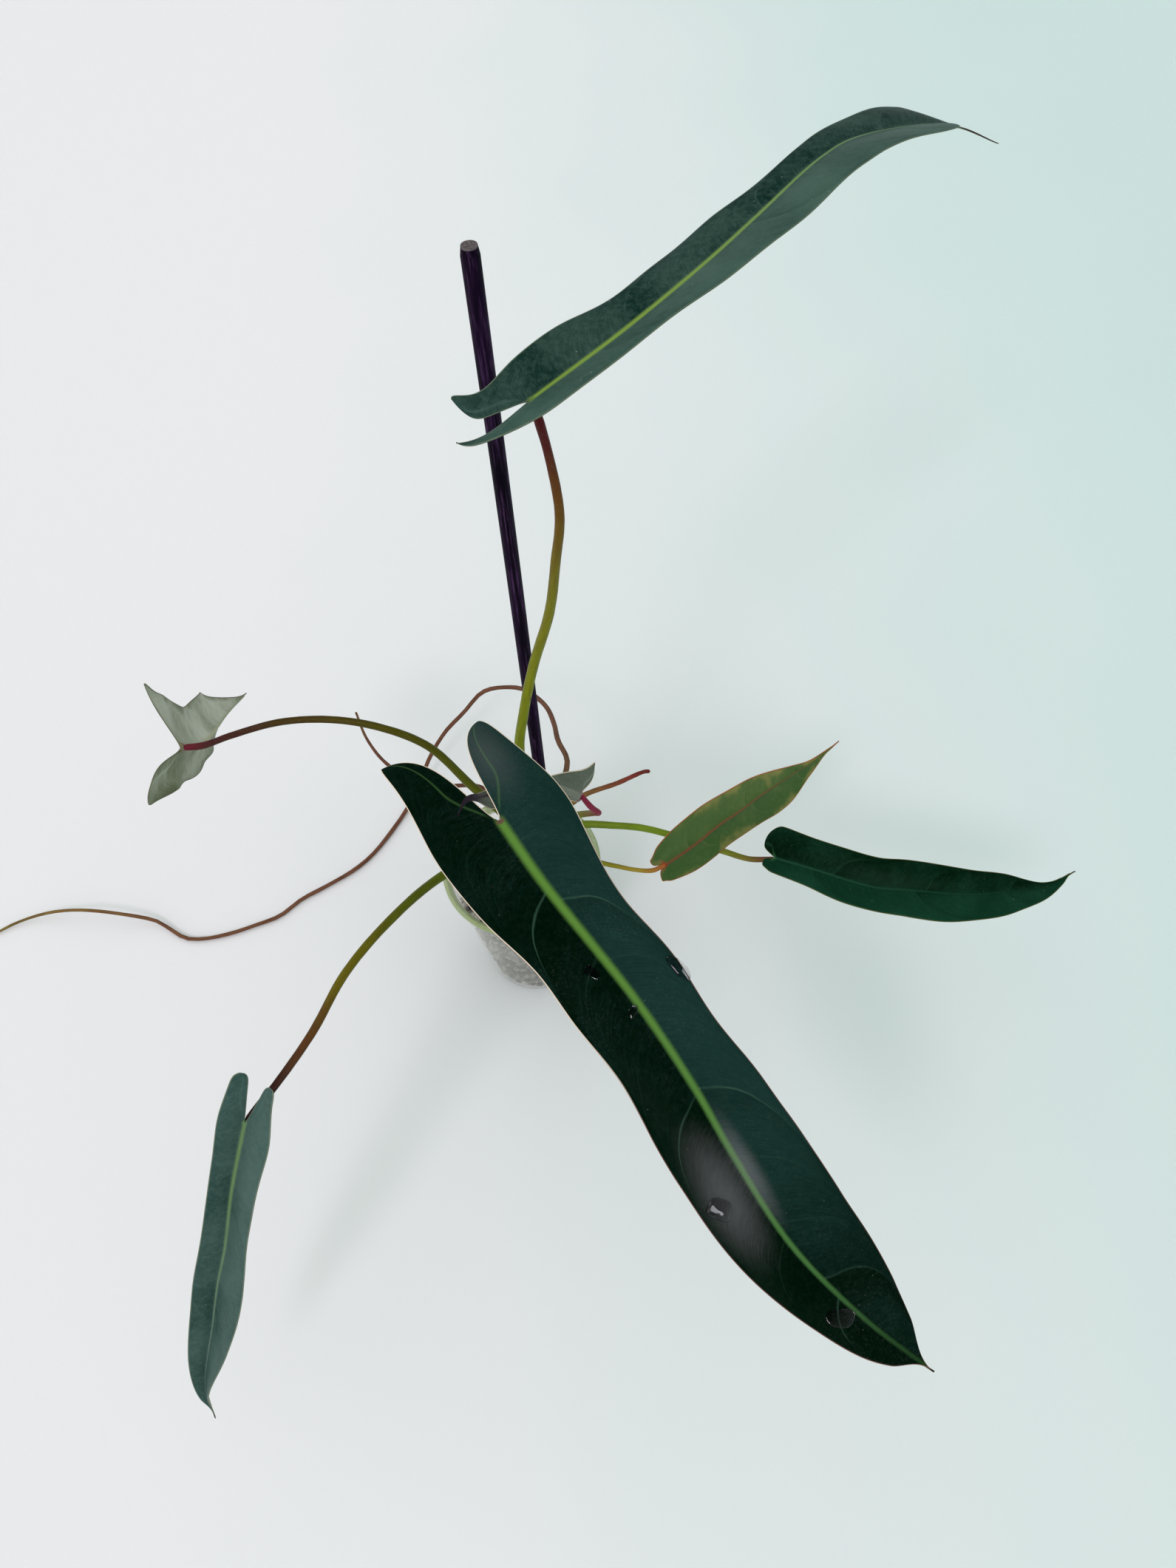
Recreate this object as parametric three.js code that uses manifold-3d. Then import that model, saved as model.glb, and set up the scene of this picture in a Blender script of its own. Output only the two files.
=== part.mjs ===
// A small potted vine with long narrow arrow-shaped leaves, in a clear nursery pot with its stake.
// Millimetres, +Z up. The origin is the centre of the pot's underside, and the front is -Y.
import * as THREE from "three";
import { mergeVertices } from "three/addons/utils/BufferGeometryUtils.js";
import Module from "manifold-3d";

// Driving dimensions
const clearance = 0.3;
const jointGap = 0.5;

const pot = {
  height: 120,
  baseRadius: 34,
  shoulderRadius: 46.6,
  rimRadius: 50,
  rimInnerRadius: 46.4,
  rimDepth: 7,
  wall: 1.2,
  floor: 2,
  edge: 1.2,
  sides: 40,
  drainRadius: 2.5,
  drainCircle: 20,
  drainCount: 6,
  drainSides: 10,
};

const substrate = {
  top: 108,
  chunkCount: 38,
  smallestChunk: 3.6,
  largestChunk: 5.6,
  flattestChunk: 0.7,
  chunkSink: 0.35,
  wallMargin: 0.8,
  seed: 11,
};

const stake = { radius: 3.7, foot: [16.6, 28, 40], head: [24, 48, 506], sides: 16, chamfer: 0.5 };

const stem = {
  axis: [[14, 2, 62], [14, 2, 112], [14, -2, 150], [14, -5, 178], [14, -7, 190]],
  radii: [5, 6.6, 6.6, 6.2, 6.6, 6.1, 6.5, 5.9, 6.3, 5.6, 5.8, 4.8, 3],
  sides: 14,
  steps: 36,
};

const blade = {
  thickness: 0.9,
  ridge: 1.5,
  columns: [0, 0.11, 0.4, 0.74, 1],
  rows: 20,
  lobeRows: 6,
  innerRoundness: 3.1,
  outerRoundness: 2.6,
  wavePitch: 56,
};

// Each leaf: its midrib from the sinus to the drip tip, the way its upper face looks, and for the two
// sides (seen from above, tip ahead) the half widths at every tenth, the lift of the half blade in degrees
// at every quarter, and the basal lobe. Its petiole leaves the stem at a height and a compass angle.
const leaves = {
  front: {
    midrib: [[7, -94, 322], [23, -122, 314], [58, -174, 296], [78, -208, 280], [90, -232, 268],
      [111, -266, 243], [140, -294, 217], [168, -314, 196]],
    faces: [0, -0.05, 1],
    right: {
      widths: [33.5, 29, 26, 28, 26, 27, 25.5, 21, 15, 11, 0],
      lifts: [-5, 8, 8, 9, 9],
      lobe: { length: 51, spread: 31, outer: -2, inner: -10.5 },
    },
    left: {
      widths: [32, 27, 25, 25, 23.5, 27, 29.5, 31, 29, 19, 0],
      lifts: [-5, 5, 8, 11, 3],
      lobe: { length: 47, spread: 18, outer: 1.5, inner: -7 },
    },
    arch: 1.6,
    wave: 0.7,
    petiole: {
      height: 175,
      compass: -92,
      route: [[13, -34, 203], [11, -64, 246], [8, -86, 292]],
      radii: [3.1, 2.6, 2.3, 2.1],
    },
  },
  high: {
    midrib: [[41, 17, 457], [81, 47, 462], [121, 84, 465], [143, 106, 467], [180, 145, 469],
      [200, 162, 467], [254, 193, 451], [285, 204, 433]],
    faces: [-0.1, 0.15, 1],
    right: {
      widths: [18, 15, 16, 20, 22, 23, 26, 24, 20, 14, 0],
      lifts: [8, 11, 4, 6, 20],
      lobe: { length: 35, spread: -6, outer: 6, inner: 3 },
    },
    left: {
      widths: [17, 19, 18, 20, 19, 15, 14, 17, 21, 20, 0],
      lifts: [48, 7, 6, 14, 0],
      lobe: { length: 27, spread: 19, outer: -2, inner: -7 },
    },
    arch: 1.2,
    wave: 0.4,
    petiole: {
      height: 181,
      compass: 100,
      route: [[10, 19, 212], [16, 21, 247], [25, 21, 286], [37, 15, 333], [43, 8, 375], [47, 6, 406],
        [45, 11, 434]],
      radii: [3.1, 2.9, 2.7, 2.3, 1.8],
    },
  },
  left: {
    midrib: [[-157, -6, 284], [-158, 13, 260], [-163, 46, 229], [-169, 86, 194], [-170, 126, 161]],
    faces: [-1, 0, 0],
    right: {
      widths: [29, 25, 22, 21, 21, 21, 20, 14, 8, 3, 0],
      lifts: [11, 23, 23, 42, 45],
      lobe: { length: 24, spread: 34, outer: -2, inner: -5 },
    },
    left: {
      widths: [20, 19, 20, 20, 19, 19, 19, 19, 18, 12, 0],
      lifts: [14, 25, 23, 46, 60],
      lobe: { length: 44, spread: 22, outer: 3, inner: -8 },
    },
    arch: 1.2,
    wave: 1,
    petiole: {
      height: 172,
      compass: 178,
      route: [[-16, -2, 211], [-37, 5, 248], [-60, 7, 267], [-83, 6, 279], [-107, 3, 285],
        [-131, -3, 286], [-146, -6, 284]],
      radii: [3.1, 2.8, 2.4, 2, 1.7],
    },
  },
  low: {
    midrib: [[-127, -186, 232], [-142, -206, 198], [-155, -224, 163], [-165, -236, 140],
      [-174, -249, 116], [-189, -275, 75], [-188, -287, 59]],
    faces: [-0.3, -0.55, 0.62],
    right: {
      widths: [14, 12.5, 12, 12.5, 13, 13, 12.5, 12, 10, 6, 0],
      lifts: [45, 46, 45, 43, 42],
      lobe: { length: 30, spread: 7, outer: 2, inner: -2 },
    },
    left: {
      widths: [20, 19, 18, 17, 18, 20, 21, 19, 14, 8, 0],
      lifts: [23, 25, 23, 39, 55],
      lobe: { length: 31, spread: 14, outer: 0, inner: -2 },
    },
    arch: 1,
    wave: 0.4,
    petiole: {
      height: 167,
      compass: -138,
      route: [[-36.5, -53.5, 208.5], [-61.5, -87.5, 227.5], [-81, -120, 239], [-95, -149, 241],
        [-110, -169, 238]],
      radii: [3.1, 2.8, 2.5, 2.1, 1.8],
    },
  },
  old: {
    midrib: [[86, -36, 164], [104, -25, 164], [121, -12, 162], [137, 0, 157], [149, 10, 153],
      [172, 28, 144], [191, 42, 137], [212, 59, 131]],
    faces: [-0.35, 0.75, -0.55],
    right: {
      widths: [12, 16, 17, 16, 15, 13, 9.5, 5.5, 2.2, 1, 0],
      lifts: [4, 4, 4, 4, 4],
      lobe: { length: 7, spread: 6, outer: 0, inner: -2 },
    },
    left: {
      widths: [13, 17, 18, 17.5, 17.5, 19, 19.5, 16.5, 8.5, 2, 0],
      lifts: [3, 4, 3, 2, 4],
      lobe: { length: 5, spread: 9, outer: 0, inner: -3 },
    },
    arch: 1,
    wave: 0.4,
    petiole: {
      height: 151,
      compass: -30,
      route: [[36, -20, 158], [49, -27, 158], [59, -32, 160], [70, -38, 164], [79, -41, 167]],
      radii: [2.4, 1.6, 1.3, 1.2],
    },
  },
  right: {
    midrib: [[151, -36, 157], [169, -44, 156], [206, -57, 148], [225, -59, 144], [267, -60, 131],
      [289, -57, 124], [313, -53, 115], [341, -40, 107]],
    faces: [0, -0.2, 1],
    right: {
      widths: [10, 12, 15, 16, 18, 19, 17, 15, 10, 5, 0],
      lifts: [12, 12, 12, 12, 12],
      lobe: { length: 6, spread: 5, outer: 1, inner: -2 },
    },
    left: {
      widths: [20, 18, 18, 18, 18, 17, 15, 12, 7, 1.5, 0],
      lifts: [12, 12, 12, 12, 12],
      lobe: { length: 8, spread: 8, outer: 4, inner: -2 },
    },
    arch: 1.2,
    wave: 0.4,
    petiole: {
      height: 159,
      compass: 12,
      route: [[42, 2, 155], [58, 3, 149], [77, 3, 142], [93, -3, 141], [123, -20, 144], [138, -31, 150]],
      radii: [2.8, 2.2, 2.1, 1.9, 1.4],
    },
  },
  young: {
    midrib: [[42, -44, 259], [32, -51, 279], [21, -61, 298], [10, -71, 312], [2.5, -77.5, 320],
      [-2, -82, 326], [-4.5, -86.5, 332], [-7, -91, 336], [-10, -98, 337]],
    faces: [-0.9, 0.3, -0.3],
    right: {
      widths: [7, 9, 10, 10, 9.5, 9, 8.5, 7.5, 2.5, 0.8, 0],
      lifts: [10, 15, 20, 15, 10],
      lobe: { length: 6, spread: 5, outer: 0, inner: -1 },
    },
    left: {
      widths: [13, 11, 9, 8, 7, 6, 5, 3.5, 2, 2, 0],
      lifts: [2, 50, 50, 35, 15],
      lobe: { length: 17, spread: 20, outer: 0, inner: -5 },
    },
    arch: 0.6,
    wave: 0.2,
    petiole: {
      height: 178,
      compass: -30,
      route: [[32, -16, 194], [42, -26, 212], [49, -36, 228], [51, -44, 241], [47, -46, 251]],
      radii: [2.8, 2.5, 2.4, 2.4, 2.2],
      steps: 22,
    },
  },
};

// Aerial roots, which leave the stem as the petioles do and end in a blunt tip.
const roots = {
  long: {
    height: 134,
    compass: 62,
    route: [[24, 30, 137], [33, 56, 131], [35, 71, 126], [30, 92, 118], [28, 114, 108], [24, 135, 98],
      [17, 153, 88], [6, 172, 76], [-8, 184, 65], [-22, 191, 55], [-30, 192, 48], [-42, 184, 40],
      [-58, 174, 31], [-72, 160, 20], [-83, 142, 9], [-94, 124, 3], [-119, 89, 2], [-134, 76, 2],
      [-156, 64, 2], [-172, 56, 2], [-188, 44, 2], [-204, 39, 2], [-223, 34, 2], [-243, 32, 2],
      [-256, 34, 2], [-269, 43, 3], [-278, 49, 5], [-304, 55, 11], [-334, 61, 12], [-361, 64, 7],
      [-384, 61, 3], [-400, 54, 2], [-416, 47, 2]],
    radii: [2, 2, 1.9, 1.8, 1.7, 1.6, 1.5, 1.4, 1.3, 0.8],
    steps: 66,
  },
  short: {
    height: 143,
    compass: 125,
    route: [[-6, 26, 147], [-21, 46, 141], [-47, 61, 125], [-68, 77, 114], [-88, 96, 106],
      [-104, 124, 101], [-111, 145, 104]],
    radii: [1.6, 1.4, 1.3, 1.2, 0.8],
    steps: 22,
  },
  young: {
    height: 168,
    compass: 20,
    route: [[43, 5, 182], [64, 3, 195], [80, 3, 204], [83, 3, 203.5]],
    radii: [2.3, 1.9, 1.5, 1.4, 1.1],
    steps: 14,
  },
};

const tubeSides = 8;
const petioleStep = 11;

const colours = {
  pot: { color: 0xcdd3c4, roughness: 0.35 },
  substrate: { color: 0x8f8c84, roughness: 0.95 },
  stake: { color: 0x2a1430, roughness: 0.6 },
  stem: { color: 0x6d7a1e, roughness: 0.55 },
  petiole: { color: 0x7c8420, roughness: 0.45 },
  youngPetiole: { color: 0x8c1f45, roughness: 0.45 },
  blade: { color: 0x12402f, roughness: 0.4 },
  oldBlade: { color: 0x4f6b35, roughness: 0.5 },
  root: { color: 0x5c3426, roughness: 0.7 },
};

const wasm = await Module();
wasm.setup();

// Plain geometry helpers

function pointOf([x, y, z]) {
  return new THREE.Vector3(x, y, z);
}

function smoothCurve(points) {
  return new THREE.CatmullRomCurve3(points.map(pointOf), false, "centripetal");
}

// A smooth value at a share from 0 to 1 of an evenly spaced list.
function along(values, share) {
  const place = share * (values.length - 1);
  const first = Math.min(Math.floor(place), values.length - 2);
  const rest = place - first;
  const start = values[first];
  const end = values[first + 1];
  const before = values[first - 1] ?? 2 * start - end;
  const after = values[first + 2] ?? 2 * end - start;
  const startSlope = (end - before) / 2;
  const endSlope = (after - start) / 2;
  const cubed = rest ** 3;
  const squared = rest ** 2;
  return (
    (2 * cubed - 3 * squared + 1) * start +
    (cubed - 2 * squared + rest) * startSlope +
    (3 * squared - 2 * cubed) * end +
    (cubed - squared) * endSlope
  );
}

function seededRandom(seed) {
  let state = seed;
  return () => {
    state = (state + 0x6d2b79f5) | 0;
    let t = Math.imul(state ^ (state >>> 15), 1 | state);
    t = (t + Math.imul(t ^ (t >>> 7), 61 | t)) ^ t;
    return ((t ^ (t >>> 14)) >>> 0) / 4294967296;
  };
}

// Triangles from corner points, without the ones that have shrunk to a line.
class FaceList {
  constructor() {
    this.corners = [];
  }

  triangle(a, b, c) {
    const tiny = 1e-4;
    if (a.distanceTo(b) < tiny || b.distanceTo(c) < tiny || c.distanceTo(a) < tiny) return;
    this.corners.push(a, b, c);
  }

  quad(a, b, c, d) {
    this.triangle(a, b, c);
    this.triangle(a, c, d);
  }

  geometry() {
    return new THREE.BufferGeometry().setFromPoints(this.corners);
  }
}

// A round solid along a curve, closed at both ends, whose radius follows a list.
function sweptGeometry(curve, radii, sides, steps) {
  const frames = curve.computeFrenetFrames(steps, false);
  const rings = [];
  for (let i = 0; i <= steps; i++) {
    const centre = curve.getPointAt(i / steps);
    const radius = along(radii, i / steps);
    const ring = [];
    for (let k = 0; k < sides; k++) {
      const angle = (2 * Math.PI * k) / sides;
      const point = centre
        .clone()
        .addScaledVector(frames.normals[i], radius * Math.cos(angle))
        .addScaledVector(frames.binormals[i], radius * Math.sin(angle));
      ring.push(point);
    }
    rings.push(ring);
  }
  const faces = new FaceList();
  for (let i = 0; i < steps; i++) {
    for (let k = 0; k < sides; k++) {
      const next = (k + 1) % sides;
      faces.quad(rings[i][k], rings[i][next], rings[i + 1][next], rings[i + 1][k]);
    }
  }
  for (let k = 1; k < sides - 1; k++) {
    faces.triangle(rings[0][0], rings[0][k + 1], rings[0][k]);
    faces.triangle(rings[steps][0], rings[steps][k], rings[steps][k + 1]);
  }
  return faces.geometry();
}

function solidOf(geometry) {
  const bare = geometry.clone();
  bare.deleteAttribute("normal");
  bare.deleteAttribute("uv");
  const merged = mergeVertices(bare, 1e-4);
  return new wasm.Manifold(
    new wasm.Mesh({
      numProp: 3,
      vertProperties: merged.attributes.position.array,
      triVerts: new Uint32Array(merged.index.array),
    }),
  );
}

function geometryOf(solid) {
  const mesh = solid.getMesh();
  const geometry = new THREE.BufferGeometry();
  geometry.setAttribute("position", new THREE.BufferAttribute(mesh.vertProperties, 3));
  geometry.setIndex(new THREE.BufferAttribute(mesh.triVerts, 1));
  return geometry;
}

// Pot, substrate and stake

function potWallRadius(height) {
  return THREE.MathUtils.lerp(pot.baseRadius, pot.shoulderRadius, height / pot.height);
}

function potGeometry() {
  const band = pot.height - pot.rimDepth;
  const inside = pot.rimInnerRadius - pot.wall;
  const profile = [
    [0, 0],
    [pot.baseRadius - pot.edge, 0],
    [pot.baseRadius, pot.edge],
    [potWallRadius(band), band],
    [pot.rimRadius, band + pot.edge],
    [pot.rimRadius, pot.height - pot.edge],
    [pot.rimRadius - pot.edge, pot.height],
    [pot.rimInnerRadius, pot.height],
    [inside, pot.height - pot.edge],
    [potWallRadius(pot.floor) - pot.wall, pot.floor],
    [0, pot.floor],
  ];
  const shell = new THREE.LatheGeometry(profile.map(([r, z]) => new THREE.Vector2(r, z)), pot.sides);
  shell.rotateX(Math.PI / 2);
  let solid = solidOf(shell);
  for (let i = 0; i < pot.drainCount; i++) {
    const angle = (2 * Math.PI * i) / pot.drainCount;
    const depth = 4 * pot.floor;
    const drill = new THREE.CylinderGeometry(pot.drainRadius, pot.drainRadius, depth, pot.drainSides);
    drill.rotateX(Math.PI / 2);
    drill.translate(pot.drainCircle * Math.cos(angle), pot.drainCircle * Math.sin(angle), pot.floor / 2);
    solid = solid.subtract(solidOf(drill));
  }
  return geometryOf(solid);
}

// The inner wall of the pot, a straight cone between its floor and its rim.
function innerRadius(height) {
  const foot = potWallRadius(pot.floor) - pot.wall;
  const head = pot.rimInnerRadius - pot.wall;
  return THREE.MathUtils.lerp(foot, head, (height - pot.floor) / (pot.height - pot.edge - pot.floor));
}

function substrateGeometry() {
  const bottom = pot.floor + clearance;
  const profile = [
    [0, bottom],
    [innerRadius(bottom) - clearance, bottom],
    [innerRadius(substrate.top) - clearance, substrate.top],
    [0, substrate.top],
  ];
  const fill = new THREE.LatheGeometry(profile.map(([r, z]) => new THREE.Vector2(r, z)), pot.sides);
  fill.rotateX(Math.PI / 2);
  let solid = solidOf(fill);
  const random = seededRandom(substrate.seed);
  const goldenAngle = Math.PI * (3 - Math.sqrt(5));
  for (let i = 0; i < substrate.chunkCount; i++) {
    const size = THREE.MathUtils.lerp(substrate.smallestChunk, substrate.largestChunk, random());
    const reach = innerRadius(substrate.top) - size - substrate.wallMargin;
    const away = reach * Math.sqrt((i + 0.5) / substrate.chunkCount);
    const chunk = new THREE.IcosahedronGeometry(size, 0);
    const squash = () => THREE.MathUtils.lerp(substrate.flattestChunk, 1, random());
    chunk.scale(1, squash(), squash());
    chunk.rotateZ(2 * Math.PI * random());
    chunk.rotateX(random());
    chunk.translate(
      away * Math.cos(i * goldenAngle),
      away * Math.sin(i * goldenAngle),
      substrate.top - substrate.chunkSink * size + random(),
    );
    solid = solid.add(solidOf(chunk));
  }
  const socketFoot = stem.axis[0][2] - clearance;
  const stemHole = sweptGeometry(stemCurve, stem.radii.map((r) => r + clearance), stem.sides, stem.steps);
  const socket = new THREE.CylinderGeometry(
    stemBodyRadius + clearance,
    stemBodyRadius + clearance,
    pot.height - socketFoot,
    stem.sides,
  );
  socket.rotateX(Math.PI / 2);
  socket.translate(stem.axis[0][0], stem.axis[0][1], (socketFoot + pot.height) / 2);
  solid = solid.subtract(solidOf(stemHole)).subtract(solidOf(socket));
  return geometryOf(solid.subtract(solidOf(stakeGeometry(clearance))));
}

// A straight round stick with a small chamfer at each end, or the hole that it stands in.
function stakeGeometry(extra = 0) {
  const foot = pointOf(stake.foot);
  const head = pointOf(stake.head);
  const length = foot.distanceTo(head) + 2 * extra;
  const radius = stake.radius + extra;
  const half = length / 2;
  const profile = [
    [0, -half],
    [radius - stake.chamfer, -half],
    [radius, -half + stake.chamfer],
    [radius, half - stake.chamfer],
    [radius - stake.chamfer, half],
    [0, half],
  ];
  const stick = new THREE.LatheGeometry(profile.map(([r, z]) => new THREE.Vector2(r, z)), stake.sides);
  const lean = head.clone().sub(foot).normalize();
  stick.applyQuaternion(new THREE.Quaternion().setFromUnitVectors(new THREE.Vector3(0, 1, 0), lean));
  const centre = foot.clone().add(head).multiplyScalar(0.5);
  stick.translate(centre.x, centre.y, centre.z);
  return stick;
}

// Stem, and what grows out of it

const stemCurve = smoothCurve(stem.axis);
const stemBodyRadius = Math.max(...stem.radii);

// How far up the stem, from 0 to 1, it reaches a height.
function stemShare(height) {
  const tests = 200;
  for (let i = 0; i < tests; i++) {
    if (stemCurve.getPointAt(i / tests).z >= height) return i / tests;
  }
  return 1;
}

// The first point of a shoot on the stem's surface, so that its end face clears the bark.
function shootStart(shoot) {
  const angle = THREE.MathUtils.degToRad(shoot.compass);
  const outward = new THREE.Vector3(Math.cos(angle), Math.sin(angle), 0);
  const share = stemShare(shoot.height);
  const centre = stemCurve.getPointAt(share);
  const heading = pointOf(shoot.route[0]).sub(centre).normalize();
  const tilt = Math.sqrt(Math.max(0, 1 - heading.dot(outward) ** 2));
  const away = along(stem.radii, share) + jointGap + shoot.radii[0] * tilt;
  return centre.addScaledVector(outward, away);
}

function rootGeometry(root) {
  const curve = smoothCurve([shootStart(root).toArray(), ...root.route]);
  return sweptGeometry(curve, root.radii, tubeSides, root.steps);
}

// Leaf blades

// A place on a leaf: how far along the midrib from the sinus (behind it when negative), and the
// directions ahead, to the right and out of the upper face.
function leafFrame(leaf, curve, length, distance) {
  const share = Math.min(Math.max(distance / length, 0), 1);
  const ahead = curve.getTangentAt(share);
  const up = pointOf(leaf.faces);
  up.addScaledVector(ahead, -up.dot(ahead)).normalize();
  const right = new THREE.Vector3().crossVectors(ahead, up);
  const centre = curve.getPointAt(share);
  centre.addScaledVector(ahead, Math.min(distance, 0));
  return { share, ahead, up, right, centre };
}

// The inner and outer edge of a half blade at a row, as distances from the midrib line.
function halfEdges(side, distance, length) {
  if (distance >= 0) return [0, along(side.widths, distance / length)];
  const back = -distance / side.lobe.length;
  const innerBulge = blade.innerRoundness * back ** 1.5 * Math.sqrt(1 - back);
  const outerBulge = blade.outerRoundness * back * Math.sqrt(1 - back);
  const inner = side.lobe.spread * back + side.lobe.inner * innerBulge;
  const outer = side.lobe.spread * back + side.widths[0] * (1 - back) + side.lobe.outer * outerBulge;
  return [inner, outer];
}

// Rows of points over a half blade from the lobe's tip to the leaf's tip, on its upper and lower face.
function halfBlade(leaf, curve, side, hand) {
  const length = curve.getLength();
  const distances = [];
  for (let i = blade.lobeRows; i > 0; i--) {
    distances.push(-side.lobe.length * Math.sin((Math.PI / 2) * (i / blade.lobeRows)));
  }
  for (let i = 0; i <= blade.rows; i++) {
    distances.push((length * i) / blade.rows);
  }
  const widest = Math.max(...side.widths);
  const upper = [];
  const lower = [];
  distances.forEach((distance, row) => {
    const frame = leafFrame(leaf, curve, length, distance);
    const [inner, outer] = halfEdges(side, distance, length);
    const lift = THREE.MathUtils.degToRad(along(side.lifts, frame.share));
    const width = outer - inner;
    const atTip = row === distances.length - 1;
    const lobeShare = Math.max(0, -distance / side.lobe.length);
    const upperRow = [];
    const lowerRow = [];
    for (const column of blade.columns) {
      const onMidrib = distance >= 0 && column === 0;
      const outward = frame.right.clone().multiplyScalar(hand * Math.cos(lift));
      outward.addScaledVector(frame.up, Math.sin(lift));
      const normal = frame.up.clone().multiplyScalar(Math.cos(lift));
      normal.addScaledVector(frame.right, -hand * Math.sin(lift));
      if (onMidrib || atTip) normal.copy(frame.up);
      const crown = leaf.arch * (width / widest) * Math.sin(Math.PI * column);
      const phase = (2 * Math.PI * distance) / blade.wavePitch + hand;
      const ripple = leaf.wave * (width / widest) * column ** 2 * Math.sin(phase);
      const point = frame.centre.clone();
      point.addScaledVector(outward, inner + width * column);
      point.addScaledVector(normal, crown + ripple);
      const half = blade.thickness / 2;
      const ridge = column === 0 ? blade.ridge * (1 - frame.share) * (1 - lobeShare) : 0;
      upperRow.push(point.clone().addScaledVector(normal, half));
      lowerRow.push(point.addScaledVector(normal, -half - ridge));
    }
    upper.push(upperRow);
    lower.push(lowerRow);
  });
  return { upper, lower };
}

// Both faces of a half blade, each quad split along the same diagonal, with the rim and the lobe's edge.
function addHalf(faces, { upper, lower }, hand) {
  const outward = (a, b, c, d) => (hand > 0 ? faces.quad(a, b, c, d) : faces.quad(a, d, c, b));
  const last = blade.columns.length - 1;
  for (let i = 0; i < upper.length - 1; i++) {
    for (let j = 0; j < last; j++) {
      outward(upper[i][j], upper[i][j + 1], upper[i + 1][j + 1], upper[i + 1][j]);
      outward(lower[i][j], lower[i + 1][j], lower[i + 1][j + 1], lower[i][j + 1]);
    }
    outward(upper[i][last], lower[i][last], lower[i + 1][last], upper[i + 1][last]);
    if (i < blade.lobeRows) outward(upper[i][0], upper[i + 1][0], lower[i + 1][0], lower[i][0]);
  }
}

function bladeGeometry(leaf) {
  const curve = smoothCurve(leaf.midrib);
  const faces = new FaceList();
  addHalf(faces, halfBlade(leaf, curve, leaf.right, 1), 1);
  addHalf(faces, halfBlade(leaf, curve, leaf.left, -1), -1);
  return faces.geometry();
}

// The petiole runs from the stem to just under the blade's ridge at the sinus.
function petioleGeometry(leaf) {
  const { petiole } = leaf;
  const curve = smoothCurve(leaf.midrib);
  const { up, centre } = leafFrame(leaf, curve, curve.getLength(), 0);
  const route = petiole.route.map(pointOf);
  const arrival = centre.clone().sub(route[route.length - 1]).normalize();
  const tilt = Math.sqrt(Math.max(0, 1 - arrival.dot(up) ** 2));
  const tipRadius = petiole.radii[petiole.radii.length - 1];
  const drop = blade.thickness / 2 + blade.ridge + jointGap + tipRadius * tilt;
  const end = centre.addScaledVector(up, -drop);
  const points = [shootStart(petiole), ...route, end];
  const path = new THREE.CatmullRomCurve3(points, false, "centripetal");
  const steps = petiole.steps ?? Math.round(path.getLength() / petioleStep);
  return sweptGeometry(path, petiole.radii, tubeSides, steps);
}

// Assembly

const plant = new THREE.Group();

function addPiece(name, geometry, look) {
  const mesh = new THREE.Mesh(geometry, new THREE.MeshStandardMaterial({ metalness: 0, ...look }));
  mesh.name = name;
  plant.add(mesh);
}

addPiece("pot", potGeometry(), colours.pot);
addPiece("substrate", substrateGeometry(), colours.substrate);
addPiece("stake", stakeGeometry(), colours.stake);
addPiece("stem", sweptGeometry(stemCurve, stem.radii, stem.sides, stem.steps), colours.stem);
for (const [name, leaf] of Object.entries(leaves)) {
  addPiece(`leaf_${name}`, bladeGeometry(leaf), name === "old" ? colours.oldBlade : colours.blade);
  const look = name === "young" ? colours.youngPetiole : colours.petiole;
  addPiece(`petiole_${name}`, petioleGeometry(leaf), look);
}
for (const [name, root] of Object.entries(roots)) {
  addPiece(`root_${name}`, rootGeometry(root), colours.root);
}

export default plant;
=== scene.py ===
import math
import random

import bpy
from mathutils import Matrix, Vector


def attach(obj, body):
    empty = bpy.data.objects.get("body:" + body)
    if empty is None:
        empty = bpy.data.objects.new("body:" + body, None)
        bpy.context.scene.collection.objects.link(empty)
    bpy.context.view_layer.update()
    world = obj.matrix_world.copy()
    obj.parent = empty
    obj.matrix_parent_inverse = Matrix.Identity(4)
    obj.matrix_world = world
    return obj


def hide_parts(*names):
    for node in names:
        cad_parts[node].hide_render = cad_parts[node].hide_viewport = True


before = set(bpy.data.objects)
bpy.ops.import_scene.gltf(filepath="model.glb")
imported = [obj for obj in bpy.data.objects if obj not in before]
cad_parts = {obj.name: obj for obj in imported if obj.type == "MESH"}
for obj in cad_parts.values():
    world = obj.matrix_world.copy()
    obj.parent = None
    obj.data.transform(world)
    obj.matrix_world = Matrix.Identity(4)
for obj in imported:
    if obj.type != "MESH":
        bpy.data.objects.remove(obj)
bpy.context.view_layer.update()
bpy.ops.object.select_all(action="DESELECT")
mm = 0.001
fullTurn = 6.28  # one turn, as waves and random turns take it
print("frame loaded:", len(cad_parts), "nodes")


# Numbers and routes

def lerp(first, second, share):
    return first + (second - first) * share


def smoothstep(low, high, value):
    share = min(max((value - low) / (high - low), 0), 1)
    return share * share * (3 - 2 * share)


# A smooth value at a share from 0 to 1 of an evenly spaced list.
def along(values, share):
    place = min(max(share, 0), 1) * (len(values) - 1)
    first = min(int(place), len(values) - 2)
    rest = place - first
    start, end = values[first], values[first + 1]
    before = values[first - 1] if first > 0 else 2 * start - end
    after = values[first + 2] if first + 2 < len(values) else 2 * end - start
    cubed, squared = rest ** 3, rest ** 2
    return ((2 * cubed - 3 * squared + 1) * start
            + (cubed - 2 * squared + rest) * (end - before) / 2
            + (3 * squared - 2 * cubed) * end
            + (cubed - squared) * (after - start) / 2)


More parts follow.
